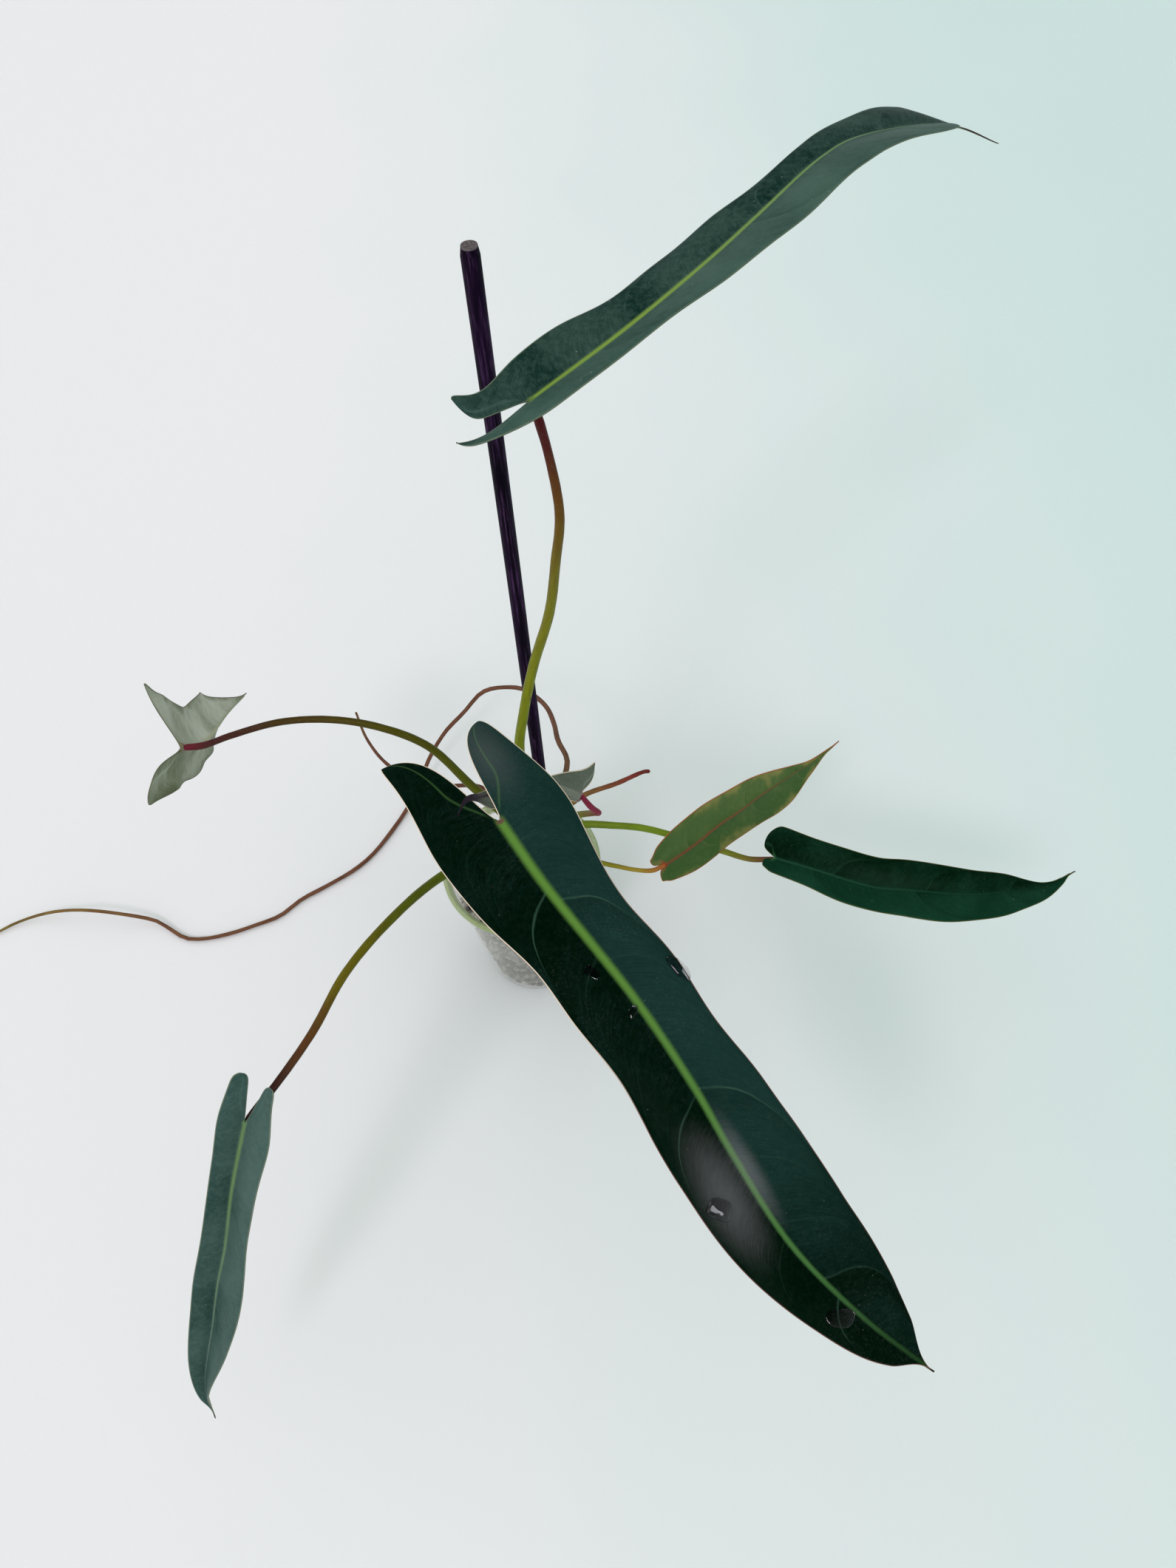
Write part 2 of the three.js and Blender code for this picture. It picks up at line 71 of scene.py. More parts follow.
# A smooth route through points, in small steps, with the distance that each step has reached.
def smoothRoute(points, steps=24):
    points = [Vector(point) for point in points]
    points = [2 * points[0] - points[1], *points, 2 * points[-1] - points[-2]]
    dense = []
    for a, b, c, d in zip(points, points[1:], points[2:], points[3:]):
        gapA, gapB, gapC = (math.sqrt((q - p).length) for p, q in ((a, b), (b, c), (c, d)))
        slopeB = ((b - a) / gapA - (c - a) / (gapA + gapB) + (c - b) / gapB) * gapB
        slopeC = ((c - b) / gapB - (d - b) / (gapB + gapC) + (d - c) / gapC) * gapB
        for k in range(steps):
            t = k / steps
            dense.append(b + slopeB * t + (3 * (c - b) - 2 * slopeB - slopeC) * t ** 2
                         + (2 * (b - c) + slopeB + slopeC) * t ** 3)
    dense.append(points[-2])
    reached = [0]
    for p, q in zip(dense, dense[1:]):
        reached.append(reached[-1] + (q - p).length)
    return {"points": dense, "reached": reached, "length": reached[-1]}


# The point and the direction ahead at a distance along a route.
def routeAt(route, distance):
    reached, points = route["reached"], route["points"]
    distance = min(max(distance, 0), route["length"])
    low, high = 0, len(reached) - 2
    while low < high:
        middle = (low + high + 1) // 2
        if reached[middle] <= distance:
            low = middle
        else:
            high = middle - 1
    share = (distance - reached[low]) / (reached[low + 1] - reached[low])
    before, after = max(low - 1, 0), min(low + 2, len(points) - 1)
    ahead = lerp(points[low + 1] - points[before], points[after] - points[low], share)
    return lerp(points[low], points[low + 1], share), ahead.normalized()


# Objects

def alone(piece):
    bpy.ops.object.select_all(action="DESELECT")
    piece.select_set(True)
    bpy.context.view_layer.objects.active = piece


def newPiece(name):
    piece = bpy.context.object
    piece.name = piece.data.name = name
    bpy.ops.object.transform_apply(location=True, rotation=True, scale=True)
    return piece


def joined(name, parts):
    alone(parts[0])
    for part in parts:
        part.select_set(True)
    if len(parts) > 1:
        bpy.ops.object.join()
    piece = bpy.context.object
    piece.name = piece.data.name = name
    return piece


def settle(piece, replaced, slot, *materials):
    piece.data.materials.clear()
    for material in materials:
        piece.data.materials.append(material)
    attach(piece, "root")
    if replaced:
        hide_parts(*replaced)


def noteValues(piece, name, kind, values):
    field = piece.data.attributes.new(name, kind, "POINT")
    if kind == "FLOAT":
        field.data.foreach_set("value", values)
    else:
        field.data.foreach_set("vector", [number for value in values for number in value])


# Shader nodes

def paint(red, green, blue):
    parts = [c / 255 for c in (red, green, blue)]
    return [c / 12.92 if c <= 0.04045 else ((c + 0.055) / 1.055) ** 2.4 for c in parts] + [1]


# A socket is linked, and a number or colour is set.
def feed(tree, socket, value):
    if isinstance(value, bpy.types.NodeSocket):
        tree.links.new(value, socket)
    else:
        socket.default_value = value


def calc(tree, operation, *values, clamp=False):
    step = tree.nodes.new("ShaderNodeMath")
    step.operation = operation
    step.use_clamp = clamp
    for socket, value in zip(step.inputs, values):
        feed(tree, socket, value)
    return step.outputs[0]


def times(tree, first, second):
    return calc(tree, "MULTIPLY", first, second)


def plus(tree, first, second, clamp=False):
    return calc(tree, "ADD", first, second, clamp=clamp)


def minus(tree, first, second):
    return calc(tree, "SUBTRACT", first, second)


def absolute(tree, value):
    return calc(tree, "ABSOLUTE", value)


def ease(tree, value, low, high, start=0, end=1):
    step = tree.nodes.new("ShaderNodeMapRange")
    step.interpolation_type = "SMOOTHSTEP"
    for label, number in (("Value", value), ("From Min", low), ("From Max", high),
                          ("To Min", start), ("To Max", end)):
        feed(tree, step.inputs[label], number)
    return step.outputs["Result"]


def mixColour(tree, share, first, second, mode="MIX"):
    step = tree.nodes.new("ShaderNodeMix")
    step.data_type = "RGBA"
    step.blend_type = mode
    feed(tree, step.inputs[0], share)
    feed(tree, step.inputs[6], first)
    feed(tree, step.inputs[7], second)
    return step.outputs[2]


def colourRamp(tree, value, stops):
    step = tree.nodes.new("ShaderNodeValToRGB")
    places = step.color_ramp.elements
    places[0].position, places[1].position = stops[0][0], stops[-1][0]
    places[0].color, places[1].color = stops[0][1], stops[-1][1]
    for place, colour in stops[1:-1]:
        places.new(place).color = colour
    feed(tree, step.inputs[0], value)
    return step.outputs[0]


def surfaceField(tree, name, output="Fac"):
    step = tree.nodes.new("ShaderNodeAttribute")
    step.attribute_name = name
    return step.outputs[output]


def partOf(tree, vector, axis):
    step = tree.nodes.new("ShaderNodeSeparateXYZ")
    feed(tree, step.inputs[0], vector)
    return step.outputs[axis]


# How far a vector reaches along an axis.
def reachAlong(tree, vector, axis):
    step = tree.nodes.new("ShaderNodeVectorMath")
    step.operation = "DOT_PRODUCT"
    feed(tree, step.inputs[0], vector)
    feed(tree, step.inputs[1], axis)
    return step.outputs["Value"]


def objectPlace(tree):
    return tree.nodes.new("ShaderNodeTexCoord").outputs["Object"]


def stretched(tree, place, scale):
    step = tree.nodes.new("ShaderNodeMapping")
    feed(tree, step.inputs["Vector"], place)
    step.inputs["Scale"].default_value = scale
    return step.outputs[0]


def noise(tree, place, scale, detail=3, roughness=0.55):
    step = tree.nodes.new("ShaderNodeTexNoise")
    feed(tree, step.inputs["Vector"], place)
    step.inputs["Scale"].default_value = scale
    step.inputs["Detail"].default_value = detail
    step.inputs["Roughness"].default_value = roughness
    return step.outputs["Fac"]


# Round cells: how far each place is from its cell's middle, and the cell's own colour.
def cells(tree, place, scale):
    step = tree.nodes.new("ShaderNodeTexVoronoi")
    feed(tree, step.inputs["Vector"], place)
    feed(tree, step.inputs["Scale"], scale)
    return step.outputs["Distance"], step.outputs["Color"]


def bumpNormal(tree, height, distance, strength=1):
    step = tree.nodes.new("ShaderNodeBump")
    step.inputs["Strength"].default_value = strength
    step.inputs["Distance"].default_value = distance
    feed(tree, step.inputs["Height"], height)
    return step.outputs[0]


def newMaterial(name, **plain):
    material = bpy.data.materials.new(name)
    material.use_nodes = True
    shader = material.node_tree.nodes["Principled BSDF"]
    for label, value in plain.items():
        shader.inputs[label.replace("_", " ")].default_value = value
    return material, material.node_tree, shader


# A group of nodes: its inputs are listed by kind, and every output is a plain number.
def shaderGroup(name, inputs, outputs):
    tree = bpy.data.node_groups.new(name, "ShaderNodeTree")
    for kind, labels in inputs.items():
        for label in labels:
            tree.interface.new_socket(label, in_out="INPUT", socket_type="NodeSocket" + kind)
    for label in outputs:
        tree.interface.new_socket(label, in_out="OUTPUT", socket_type="NodeSocketFloat")
    return tree, tree.nodes.new("NodeGroupInput").outputs, tree.nodes.new("NodeGroupOutput").inputs


def useGroup(tree, group, **values):
    step = tree.nodes.new("ShaderNodeGroup")
    step.node_tree = group
    for label, value in values.items():
        feed(tree, step.inputs[label], value)
    return step.outputs


# The share of cells that stay bare, then each noise's scale, detail and roughness, and the band that shows
weather = {
    "bare": 0.55,
    "dust": (900, 4, 0.7), "dustBand": (0.5, 0.75),
    "blotch": (30, 4), "blotchBand": (0.32, 0.68),
    "grain": (1500, 3, 0.6),
    "mottle": (340, 5, 0.75), "mottleBand": (0.42, 0.62),
}


# Pale flecks, dust and soft blotches that a living surface carries.
def makeWeathering():
    tree, given, made = shaderGroup(
        "weathering", {"Vector": ("place",), "Float": ("fleckScale", "fleckSize")},
        ("fleck", "dust", "blotch", "grain", "mottle"))
    place = given["place"]
    gap, chance = cells(tree, place, given["fleckScale"])
    split = tree.nodes.new("ShaderNodeSeparateColor")
    feed(tree, split.inputs[0], chance)
    size = times(tree, given["fleckSize"], split.outputs[0])
    fleck = ease(tree, gap, times(tree, size, 0.5), size, 1, 0)
    shown = calc(tree, "GREATER_THAN", split.outputs[1], weather["bare"])
    feed(tree, made["fleck"], times(tree, fleck, shown))
    for label in ("dust", "blotch", "mottle"):
        spread = noise(tree, place, *weather[label])
        feed(tree, made[label], ease(tree, spread, *weather[label + "Band"]))
    feed(tree, made["grain"], noise(tree, place, *weather["grain"]))
    return tree


weathering = makeWeathering()


# Tubes: a cylinder is laid along X, shaped ring by ring, and led along its route by a Curve modifier.

def tubePiece(name, points, radii, sides=14, step=1.4, shape=None, blunt=True):
    route = smoothRoute(points)
    length = route["length"]
    cap, leastTip = 5, 0.06
    rings = max(round(length / step), 3 * cap)
    bpy.ops.object.select_all(action="DESELECT")
    bpy.ops.mesh.primitive_cylinder_add(vertices=sides, radius=mm, depth=length * mm,
                                        rotation=(0, math.pi / 2, 0), location=(length * mm / 2, 0, 0))
    piece = newPiece(name)
    mesh = piece.data
    bpy.ops.object.mode_set(mode="EDIT")
    bpy.ops.mesh.select_mode(type="EDGE")
    bpy.ops.mesh.select_all(action="DESELECT")
    bpy.ops.object.mode_set(mode="OBJECT")
    for edge in mesh.edges:
        a, b = (mesh.vertices[i].co for i in edge.vertices)
        edge.select = abs(a.x - b.x) > 0.5 * length * mm
    bpy.ops.object.mode_set(mode="EDIT")
    bpy.ops.mesh.subdivide(number_cuts=rings - 1)
    bpy.ops.object.mode_set(mode="OBJECT")
    tip = radii[-1]
    places, widths = [], []
    for k in range(rings + 1):
        if blunt and k >= rings - cap:
            turn = math.pi / 2 * (k - rings + cap) / cap
            places.append(length - tip + tip * math.sin(turn))
            widths.append(tip * max(math.cos(turn), leastTip))
        else:
            end = length - tip if blunt else length
            places.append(end * k / (rings - cap if blunt else rings))
            widths.append(along(radii, places[-1] / length))
    shares, straight = [], []
    for vertex in mesh.vertices:
        k = round(vertex.co.x / (length * mm) * rings)
        angle = math.atan2(vertex.co.z, vertex.co.y)
        swell = shape(places[k], length, angle) if shape else 1
        width = widths[k] * swell * mm
        vertex.co = (places[k] * mm, width * math.cos(angle), width * math.sin(angle))
        shares.append(places[k] / length)
        straight.append(tuple(vertex.co))
    noteValues(piece, "along", "FLOAT", shares)
    noteValues(piece, "straight", "FLOAT_VECTOR", straight)
    guideLine = bpy.data.curves.new(name + "Route", "CURVE")
    guideLine.dimensions = "3D"
    guideLine.twist_mode = "MINIMUM"
    line = guideLine.splines.new("POLY")
    count = max(round(length), 8)
    line.points.add(count)
    for k in range(count + 1):
        point = routeAt(route, length * k / count)[0] * mm
        line.points[k].co = (*point, 1)
    guide = bpy.data.objects.new(name + "Route", guideLine)
    bpy.context.collection.objects.link(guide)
    alone(piece)
    follow = piece.modifiers.new("follow", "CURVE")
    follow.object = guide
    follow.deform_axis = "POS_X"
    bpy.ops.object.modifier_apply(modifier="follow")
    bpy.data.objects.remove(guide)
    bpy.ops.object.shade_smooth()
    return piece


# Waves of the bumps on a stalk or root: how high, how long as a share of the longest, and how often round it
lumpWaves = [(1, 1, 0), (0.7, 0.43, 1), (0.5, 0.27, -2)]


def lumpy(seed, depth, pitch):
    random.seed(seed)
    starts = [random.uniform(0, fullTurn) for _ in lumpWaves]
    highest = sum(height for height, _, _ in lumpWaves)

    def shape(distance, length, angle):
        wave = 0
        for start, (height, share, turns) in zip(starts, lumpWaves):
            wave += height * math.sin(distance * fullTurn / (pitch * share) + turns * angle + start)
        return 1 + depth * wave / highest
    return shape


# Pot

pot = {
    "sides": 96,
    "outer": [(0, 1.1), (26.5, 1.1), (27.5, 0.9), (28.6, 0.2), (29.2, 0), (32.6, 0), (33.5, 0.4), (34, 1.3),
              (34.9, 9), (35.2, 12), (39.7, 54), (43.9, 94), (44.9, 104), (45.2, 106), (45.8, 109.5),
              (46.3, 114.6), (46.9, 115.6), (48.8, 115.8), (49.6, 116.3), (50, 117.1), (50, 118.6),
              (49.75, 119.4), (49.2, 119.9), (48.6, 120), (47.9, 119.8), (47.2, 119.1), (46.8, 118.1)],
    "wall": 0.9,
    "floor": 2, "floorCorner": 3.4,
    "drains": 6, "drainRadius": 2.5, "drainCircle": 20, "drillDepth": 12,
    "innerRings": (116, 90, 60, 30, 4.5), "smoothBelow": 38,
    # The plastic's tint and cloudy film, then the rim's green, which is a painted reflection of green light.
    "tint": paint(228, 232, 222), "cloud": paint(238, 240, 232), "rim": paint(156, 176, 112),
    "rimBand": (0.1135, 0.1155), "clear": 0.02, "rimAlpha": 0.6, "filmAlpha": 0.07, "edgeAlpha": 0.4,
    "filmBand": (0.03, 0.1), "filmLow": 0.25, "gloss": 0.08, "filmGloss": 0.14, "rimGloss": 0.15,
    "waveScale": 60, "waveDepth": 0.0006, "waveStrength": 0.35,
}
# The solid's wall: its outer radius at the floor, its thickness, and the bore's radius and height at the top
solidPot = {"foot": 34.21, "wall": 1.2, "mouth": 45.2, "top": 118.8}


def innerRadius(height):
    share = (height - pot["floor"]) / (solidPot["top"] - pot["floor"])
    return lerp(solidPot["foot"] - solidPot["wall"], solidPot["mouth"], share)


def makePotMaterial():
    material, tree, shader = newMaterial("clearPot", Specular_IOR_Level=0.9)
    place = objectPlace(tree)
    wear = useGroup(tree, weathering, place=place, fleckScale=300, fleckSize=0.25)
    height = partOf(tree, place, "Z")
    # The rim band is more opaque, and painted green: a painted reflection of green light in the clear rim.
    rim = ease(tree, height, *pot["rimBand"])
    film = times(tree, wear["blotch"], ease(tree, height, *pot["filmBand"], pot["filmLow"], 1))
    colour = mixColour(tree, film, pot["tint"], pot["cloud"])
    colour = mixColour(tree, rim, colour, pot["rim"])
    feed(tree, shader.inputs["Base Color"], colour)
    rough = plus(tree, times(tree, wear["blotch"], pot["filmGloss"]), pot["gloss"])
    feed(tree, shader.inputs["Roughness"], plus(tree, rough, times(tree, rim, pot["rimGloss"])))
    glance = tree.nodes.new("ShaderNodeLayerWeight")
    glance.inputs["Blend"].default_value = 0.5
    solid = ease(tree, height, *pot["rimBand"], pot["clear"], pot["rimAlpha"])
    solid = plus(tree, times(tree, film, pot["filmAlpha"]), solid)
    glassy = times(tree, calc(tree, "POWER", glance.outputs["Facing"], 3), pot["edgeAlpha"])
    feed(tree, shader.inputs["Alpha"], plus(tree, solid, glassy, clamp=True))
    wave = noise(tree, stretched(tree, place, (1, 1, 0.3)), pot["waveScale"], 2)
    feed(tree, shader.inputs["Normal"], bumpNormal(tree, wave, pot["waveDepth"], pot["waveStrength"]))
    return material


def makePot():
    thinner = solidPot["wall"] - pot["wall"]
    profile = pot["outer"] + [(innerRadius(z) + thinner, z) for z in pot["innerRings"]]
    profile += [(solidPot["foot"] - pot["floorCorner"], pot["floor"]), (0, pot["floor"])]
    bpy.ops.mesh.primitive_circle_add(vertices=len(profile), radius=1)
    piece = newPiece("pot_shell")
    for vertex, (radius, height) in zip(piece.data.vertices, profile):
        vertex.co = (radius * mm, 0, height * mm)
    bpy.ops.object.mode_set(mode="EDIT")
    bpy.ops.mesh.select_all(action="SELECT")
    bpy.ops.mesh.spin(steps=pot["sides"], angle=2 * math.pi, center=(0, 0, 0), axis=(0, 0, 1))
    bpy.ops.mesh.select_all(action="SELECT")
    bpy.ops.mesh.remove_doubles(threshold=0.01 * mm)
    bpy.ops.mesh.dissolve_degenerate(threshold=0.005 * mm)
    bpy.ops.mesh.select_all(action="SELECT")
    bpy.ops.mesh.normals_make_consistent(inside=False)
    bpy.ops.object.mode_set(mode="OBJECT")
    drills = []
    for k in range(pot["drains"]):
        angle = 2 * math.pi * k / pot["drains"]
        away = pot["drainCircle"] * mm
        bpy.ops.mesh.primitive_cylinder_add(
            vertices=20, radius=pot["drainRadius"] * mm, depth=pot["drillDepth"] * mm,
            location=(away * math.cos(angle), away * math.sin(angle), 0))
        drills.append(newPiece(f"drill{k}"))
    drill = joined("drill", drills)
    alone(piece)
    cut = piece.modifiers.new("drains", "BOOLEAN")
    cut.object = drill
    bpy.ops.object.modifier_apply(modifier="drains")
    bpy.data.objects.remove(drill)
    bpy.ops.object.shade_smooth_by_angle(angle=math.radians(pot["smoothBelow"]))
    settle(piece, ["pot"], "pot", makePotMaterial())
    print("pot:", len(piece.data.polygons), "faces")


# Substrate: pumice, perlite and bark, pressed against the clear wall

mix = {
    "seed": 5,
    "top": 107.5, "lowest": 2.4, "highest": 118, "coreGap": 4, "coreFrom": 3, "coreBelow": 4,
    "wallRows": 17, "wallColumns": 40, "missing": 0.1, "rowsFrom": 5, "rowsBelow": 2.5, "shift": 0.3,
    "topCount": 190, "topTurn": 0.1,
    "models": 6, "facets": 7, "facetReach": 0.72, "facetWander": (0.95, 1.05),
    "smallest": 1.9, "largest": 4.2, "pressed": (0.5, 0.85), "inset": (0.2, 0.7),
    "wallFlat": (0.6, 1), "wallWander": 1.6, "topFlat": (0.5, 0.95), "topWander": (-1.8, 1.2), "topRim": 0.3,
    "clear": [((14, 2), 8.5), ((17.8, 31.2), 5.2)],  # the stem and the stake, and how far stones keep away
    "keepOff": 0.6,
    "pumiceShare": 0.68, "perliteShare": 0.8,
    "grit": [
        {"name": "pumice", "light": paint(142, 140, 133), "dark": paint(88, 86, 80), "scale": 420,
         "depth": 0.0006, "paintedTopLight": 0.35},
        {"name": "perlite", "light": paint(206, 205, 198), "dark": paint(150, 148, 142), "scale": 500,
         "depth": 0.0004, "paintedTopLight": 0.9},
        {"name": "bark", "light": paint(76, 54, 38), "dark": paint(36, 25, 20), "scale": 260,
         "depth": 0.0006, "paintedTopLight": 0},
        # The near-black core under the stones is painted shade in the gaps between them.
        {"name": "gapShade", "light": paint(30, 26, 21), "dark": paint(14, 12, 10), "scale": 350,
         "depth": 0.0012, "paintedTopLight": 0},
    ],
    "pitScale": 2.2, "pitBand": (0.05, 0.3), "pitShare": 0.7, "pitRelief": 0.8,
    "stain": paint(34, 33, 32), "stainScale": 120, "stainBand": (0.46, 0.56), "stainShare": 0.9,
    # The pale colour painted on the topmost stones as painted light, and the heights over which it comes in.
    "paintedTopLight": paint(236, 234, 226), "paintedTopBand": (0.102, 0.107),
}


def makeGritMaterial(name, light, dark, scale, depth, paintedTopLight):
    material, tree, shader = newMaterial(name, Roughness=0.9)
    place = objectPlace(tree)
    tone = noise(tree, place, scale, 5, 0.65)
    pits = cells(tree, place, scale * mix["pitScale"])[0]
    colour = mixColour(tree, ease(tree, tone, 0.35, 0.65), dark, light)
    colour = mixColour(tree, ease(tree, pits, *mix["pitBand"], mix["pitShare"], 0), colour, dark)
    stain = ease(tree, noise(tree, place, mix["stainScale"], 1), *mix["stainBand"], 0, mix["stainShare"])
    colour = mixColour(tree, stain, colour, mix["stain"])
    # Painted light: stones near the top are painted paler, by how high they lie, and the more so for
    # perlite.
    pale = ease(tree, partOf(tree, place, "Z"), *mix["paintedTopBand"], 0, paintedTopLight)
    feed(tree, shader.inputs["Base Color"], mixColour(tree, pale, colour, mix["paintedTopLight"]))
    relief = plus(tree, tone, times(tree, ease(tree, pits, 0, 0.35), mix["pitRelief"]))
    feed(tree, shader.inputs["Normal"], bumpNormal(tree, relief, depth))
    return material


def makeMix():
    random.seed(mix["seed"])
    low, high = mix["coreFrom"], mix["top"] - mix["coreBelow"]
    bpy.ops.mesh.primitive_cone_add(vertices=64, radius1=(innerRadius(low) - mix["coreGap"]) * mm,
                                    radius2=(innerRadius(mix["top"]) - mix["coreGap"]) * mm,
                                    depth=(high - low) * mm, location=(0, 0, (low + high) / 2 * mm))
    core = newPiece("core")
    models = []
    for k in range(mix["models"]):
        bpy.ops.mesh.primitive_ico_sphere_add(subdivisions=2, radius=1)
        model = newPiece(f"stone{k}")
        pushes = [Vector([random.uniform(-1, 1) for _ in range(3)]).normalized()
                  for _ in range(mix["facets"])]
        for vertex in model.data.vertices:
            reach = min([1] + [mix["facetReach"] / max(vertex.co.dot(push), 0.01) for push in pushes])
            vertex.co *= reach * random.uniform(*mix["facetWander"])
        models.append(model)
    stones = []

    def addStone(x, y, z, size, kind, flat):
        for (px, py), clear in mix["clear"]:
            if math.hypot(x - px, y - py) < clear + size * mix["keepOff"]:
                return
        stone = random.choice(models).copy()
        stone.data = stone.data.copy()
        bpy.context.collection.objects.link(stone)
        sizes = [size, size * random.uniform(*flat), size * random.uniform(*flat)]
        turn = Matrix.Rotation(random.uniform(0, fullTurn), 4, "Z")
        turn = turn @ Matrix.Rotation(random.uniform(0, fullTurn), 4, "X")
        stone.data.transform(Matrix.Translation((x, y, z)) @ turn @ Matrix.Diagonal((*sizes, 1)))
        inset = random.uniform(*mix["inset"])
        for vertex in stone.data.vertices:
            spot = vertex.co
            height = min(max(spot.z, mix["lowest"]), mix["highest"])
            reach = innerRadius(height) + solidPot["wall"] - pot["wall"] - inset
            away = math.hypot(spot.x, spot.y)
            if away > reach:
                spot.x, spot.y = spot.x * reach / away, spot.y * reach / away
            spot.z = max(spot.z, mix["lowest"])
            vertex.co = spot * mm
        stone.data.materials.clear()
        for polygon in stone.data.polygons:
            polygon.material_index = kind
        stones.append(stone)

    def kindOf():
        draw = random.random()
        return 0 if draw < mix["pumiceShare"] else 1 if draw < mix["perliteShare"] else 2
    for row in range(mix["wallRows"]):
        height = lerp(mix["rowsFrom"], mix["top"] - mix["rowsBelow"], row / (mix["wallRows"] - 1))
        for column in range(mix["wallColumns"]):
            if random.random() < mix["missing"]:
                continue
            shift = 0.5 * (row % 2) + random.uniform(-mix["shift"], mix["shift"])
            angle = 2 * math.pi * (column + shift) / mix["wallColumns"]
            size = random.uniform(mix["smallest"], mix["largest"])
            away = innerRadius(height) - size * random.uniform(*mix["pressed"])
            wander = random.uniform(-mix["wallWander"], mix["wallWander"])
            addStone(away * math.cos(angle), away * math.sin(angle), height + wander, size, kindOf(),
                     mix["wallFlat"])
    golden = math.pi * (3 - math.sqrt(5))
    for k in range(mix["topCount"]):
        size = random.uniform(mix["smallest"], mix["largest"])
        away = (innerRadius(mix["top"]) - size - mix["topRim"]) * math.sqrt((k + 0.5) / mix["topCount"])
        angle = k * golden + random.uniform(-mix["topTurn"], mix["topTurn"])
        wander = random.uniform(*mix["topWander"])
        addStone(away * math.cos(angle), away * math.sin(angle), mix["top"] + wander, size, kindOf(),
                 mix["topFlat"])
    for model in models:
        bpy.data.objects.remove(model)
    # The core takes the last, near-black material: painted shade seen in the gaps between the stones.
    for polygon in core.data.polygons:
        polygon.material_index = len(mix["grit"]) - 1
    piece = joined("substrate_mix", [core, *stones])
    kinds = [polygon.material_index for polygon in piece.data.polygons]
    settle(piece, ["substrate"], "substrate", *[makeGritMaterial(**grit) for grit in mix["grit"]])
    for polygon, kind in zip(piece.data.polygons, kinds):
        polygon.material_index = kind
    print("substrate:", len(stones), "stones")


# Stake

stake = {
    "route": [(16.6, 28, 40), (19, 34.5, 190.5), (21.5, 41.2, 347.8), (23.6, 48, 506)],
    "radii": [3.7, 3.66, 3.74, 3.78, 3.95], "chamfer": 0.16, "chamferLength": 0.6,
    "smoothBelow": 40, "cutBand": (0.9983, 0.999), "gloss": (0.42, 0.7), "grainDepth": 0.0005,
    "grain": (900, 5, 0.65), "broad": (260, 3), "rings": (1100, 4, 0.7),
    "dark": paint(6, 1, 14), "stain": paint(25, 8, 36), "worn": paint(76, 52, 88),
    "cut": paint(112, 105, 106), "cutDark": paint(80, 73, 75),
}


def makeStakeMaterial():
    material, tree, shader = newMaterial("stainedWood", Specular_IOR_Level=0.04)
    place = surfaceField(tree, "straight", "Vector")
    grain = noise(tree, stretched(tree, place, (0.045, 1, 1)), *stake["grain"])
    broad = noise(tree, stretched(tree, place, (0.06, 1, 1)), *stake["broad"])
    colour = mixColour(tree, ease(tree, broad, 0.36, 0.62), stake["dark"], stake["stain"])
    colour = mixColour(tree, ease(tree, grain, 0.5, 0.7, 0, 0.8), colour, stake["worn"])
    colour = mixColour(tree, ease(tree, grain, 0.24, 0.42, 0.8, 0), colour, stake["dark"])
    top = ease(tree, surfaceField(tree, "along"), *stake["cutBand"])
    rings = noise(tree, stretched(tree, place, (0, 1, 1)), *stake["rings"])
    cut = mixColour(tree, ease(tree, rings, 0.4, 0.62), stake["cutDark"], stake["cut"])
    feed(tree, shader.inputs["Base Color"], mixColour(tree, top, colour, cut))
    feed(tree, shader.inputs["Roughness"], ease(tree, grain, 0.3, 0.7, *stake["gloss"]))
    feed(tree, shader.inputs["Normal"], bumpNormal(tree, grain, stake["grainDepth"]))
    return material


def makeStake():
    def cutEnds(distance, length, angle):
        end = min(distance, length - distance)
        return 1 - stake["chamfer"] * (1 - smoothstep(0, stake["chamferLength"], end))
    piece = tubePiece("stake_wood", stake["route"], stake["radii"], sides=28, step=4, shape=cutEnds,
                      blunt=False)
    bpy.ops.object.shade_smooth_by_angle(angle=math.radians(stake["smoothBelow"]))
    settle(piece, ["stake"], "stake", makeStakeMaterial())
    print("stake made")


# Stem and the shoots that leave it

stem = {
    "axis": [(14, 2, 62), (14, 2, 112), (14, -2, 150), (14, -5, 178), (14, -7, 190)],
    "radii": [5, 6.6, 6.6, 6.2, 6.6, 6.1, 6.5, 5.9, 6.3, 5.6, 5.8, 4.8, 3],
    "ringStart": 50, "ringPitch": 13.5, "ringSwell": 0.05, "swellBand": (0.7, 1),
    "ringPinch": 0.03, "pinchBand": (0.55, 0.68), "pinchEnd": 0.8,
    "bulge": 0.025, "bulgePace": 0.11, "wave": 0.015, "wavePace": 0.9,
    "colours": [(0, paint(96, 84, 50)), (0.45, paint(112, 112, 52)), (0.75, paint(116, 126, 50)),
                (1, paint(150, 150, 78))],
}
stemRoute = smoothRoute(stem["axis"])
# A joint's gap in mm, and how far out from the stem's middle a shoot starts, as a share of its radius
jointGap = 0.5
insideStem = 0.35


def stemPlace(height):
    for k in range(201):
        point = routeAt(stemRoute, stemRoute["length"] * k / 200)[0]
        if point.z >= height:
            break
    return point, along(stem["radii"], k / 200)


# A shoot's first points: inside the stem, then where its solid starts on the bark.
def shootStart(shoot):
    angle = math.radians(shoot["compass"])
    outward = Vector((math.cos(angle), math.sin(angle), 0))
    centre, radius = stemPlace(shoot["height"])
    heading = (Vector(shoot["route"][0]) - centre).normalized()
    tilt = math.sqrt(max(0, 1 - heading.dot(outward) ** 2))
    surface = centre + outward * (radius + jointGap + shoot["radii"][0] * tilt)
    return [centre + outward * insideStem * radius - Vector((0, 0, 1)), surface]


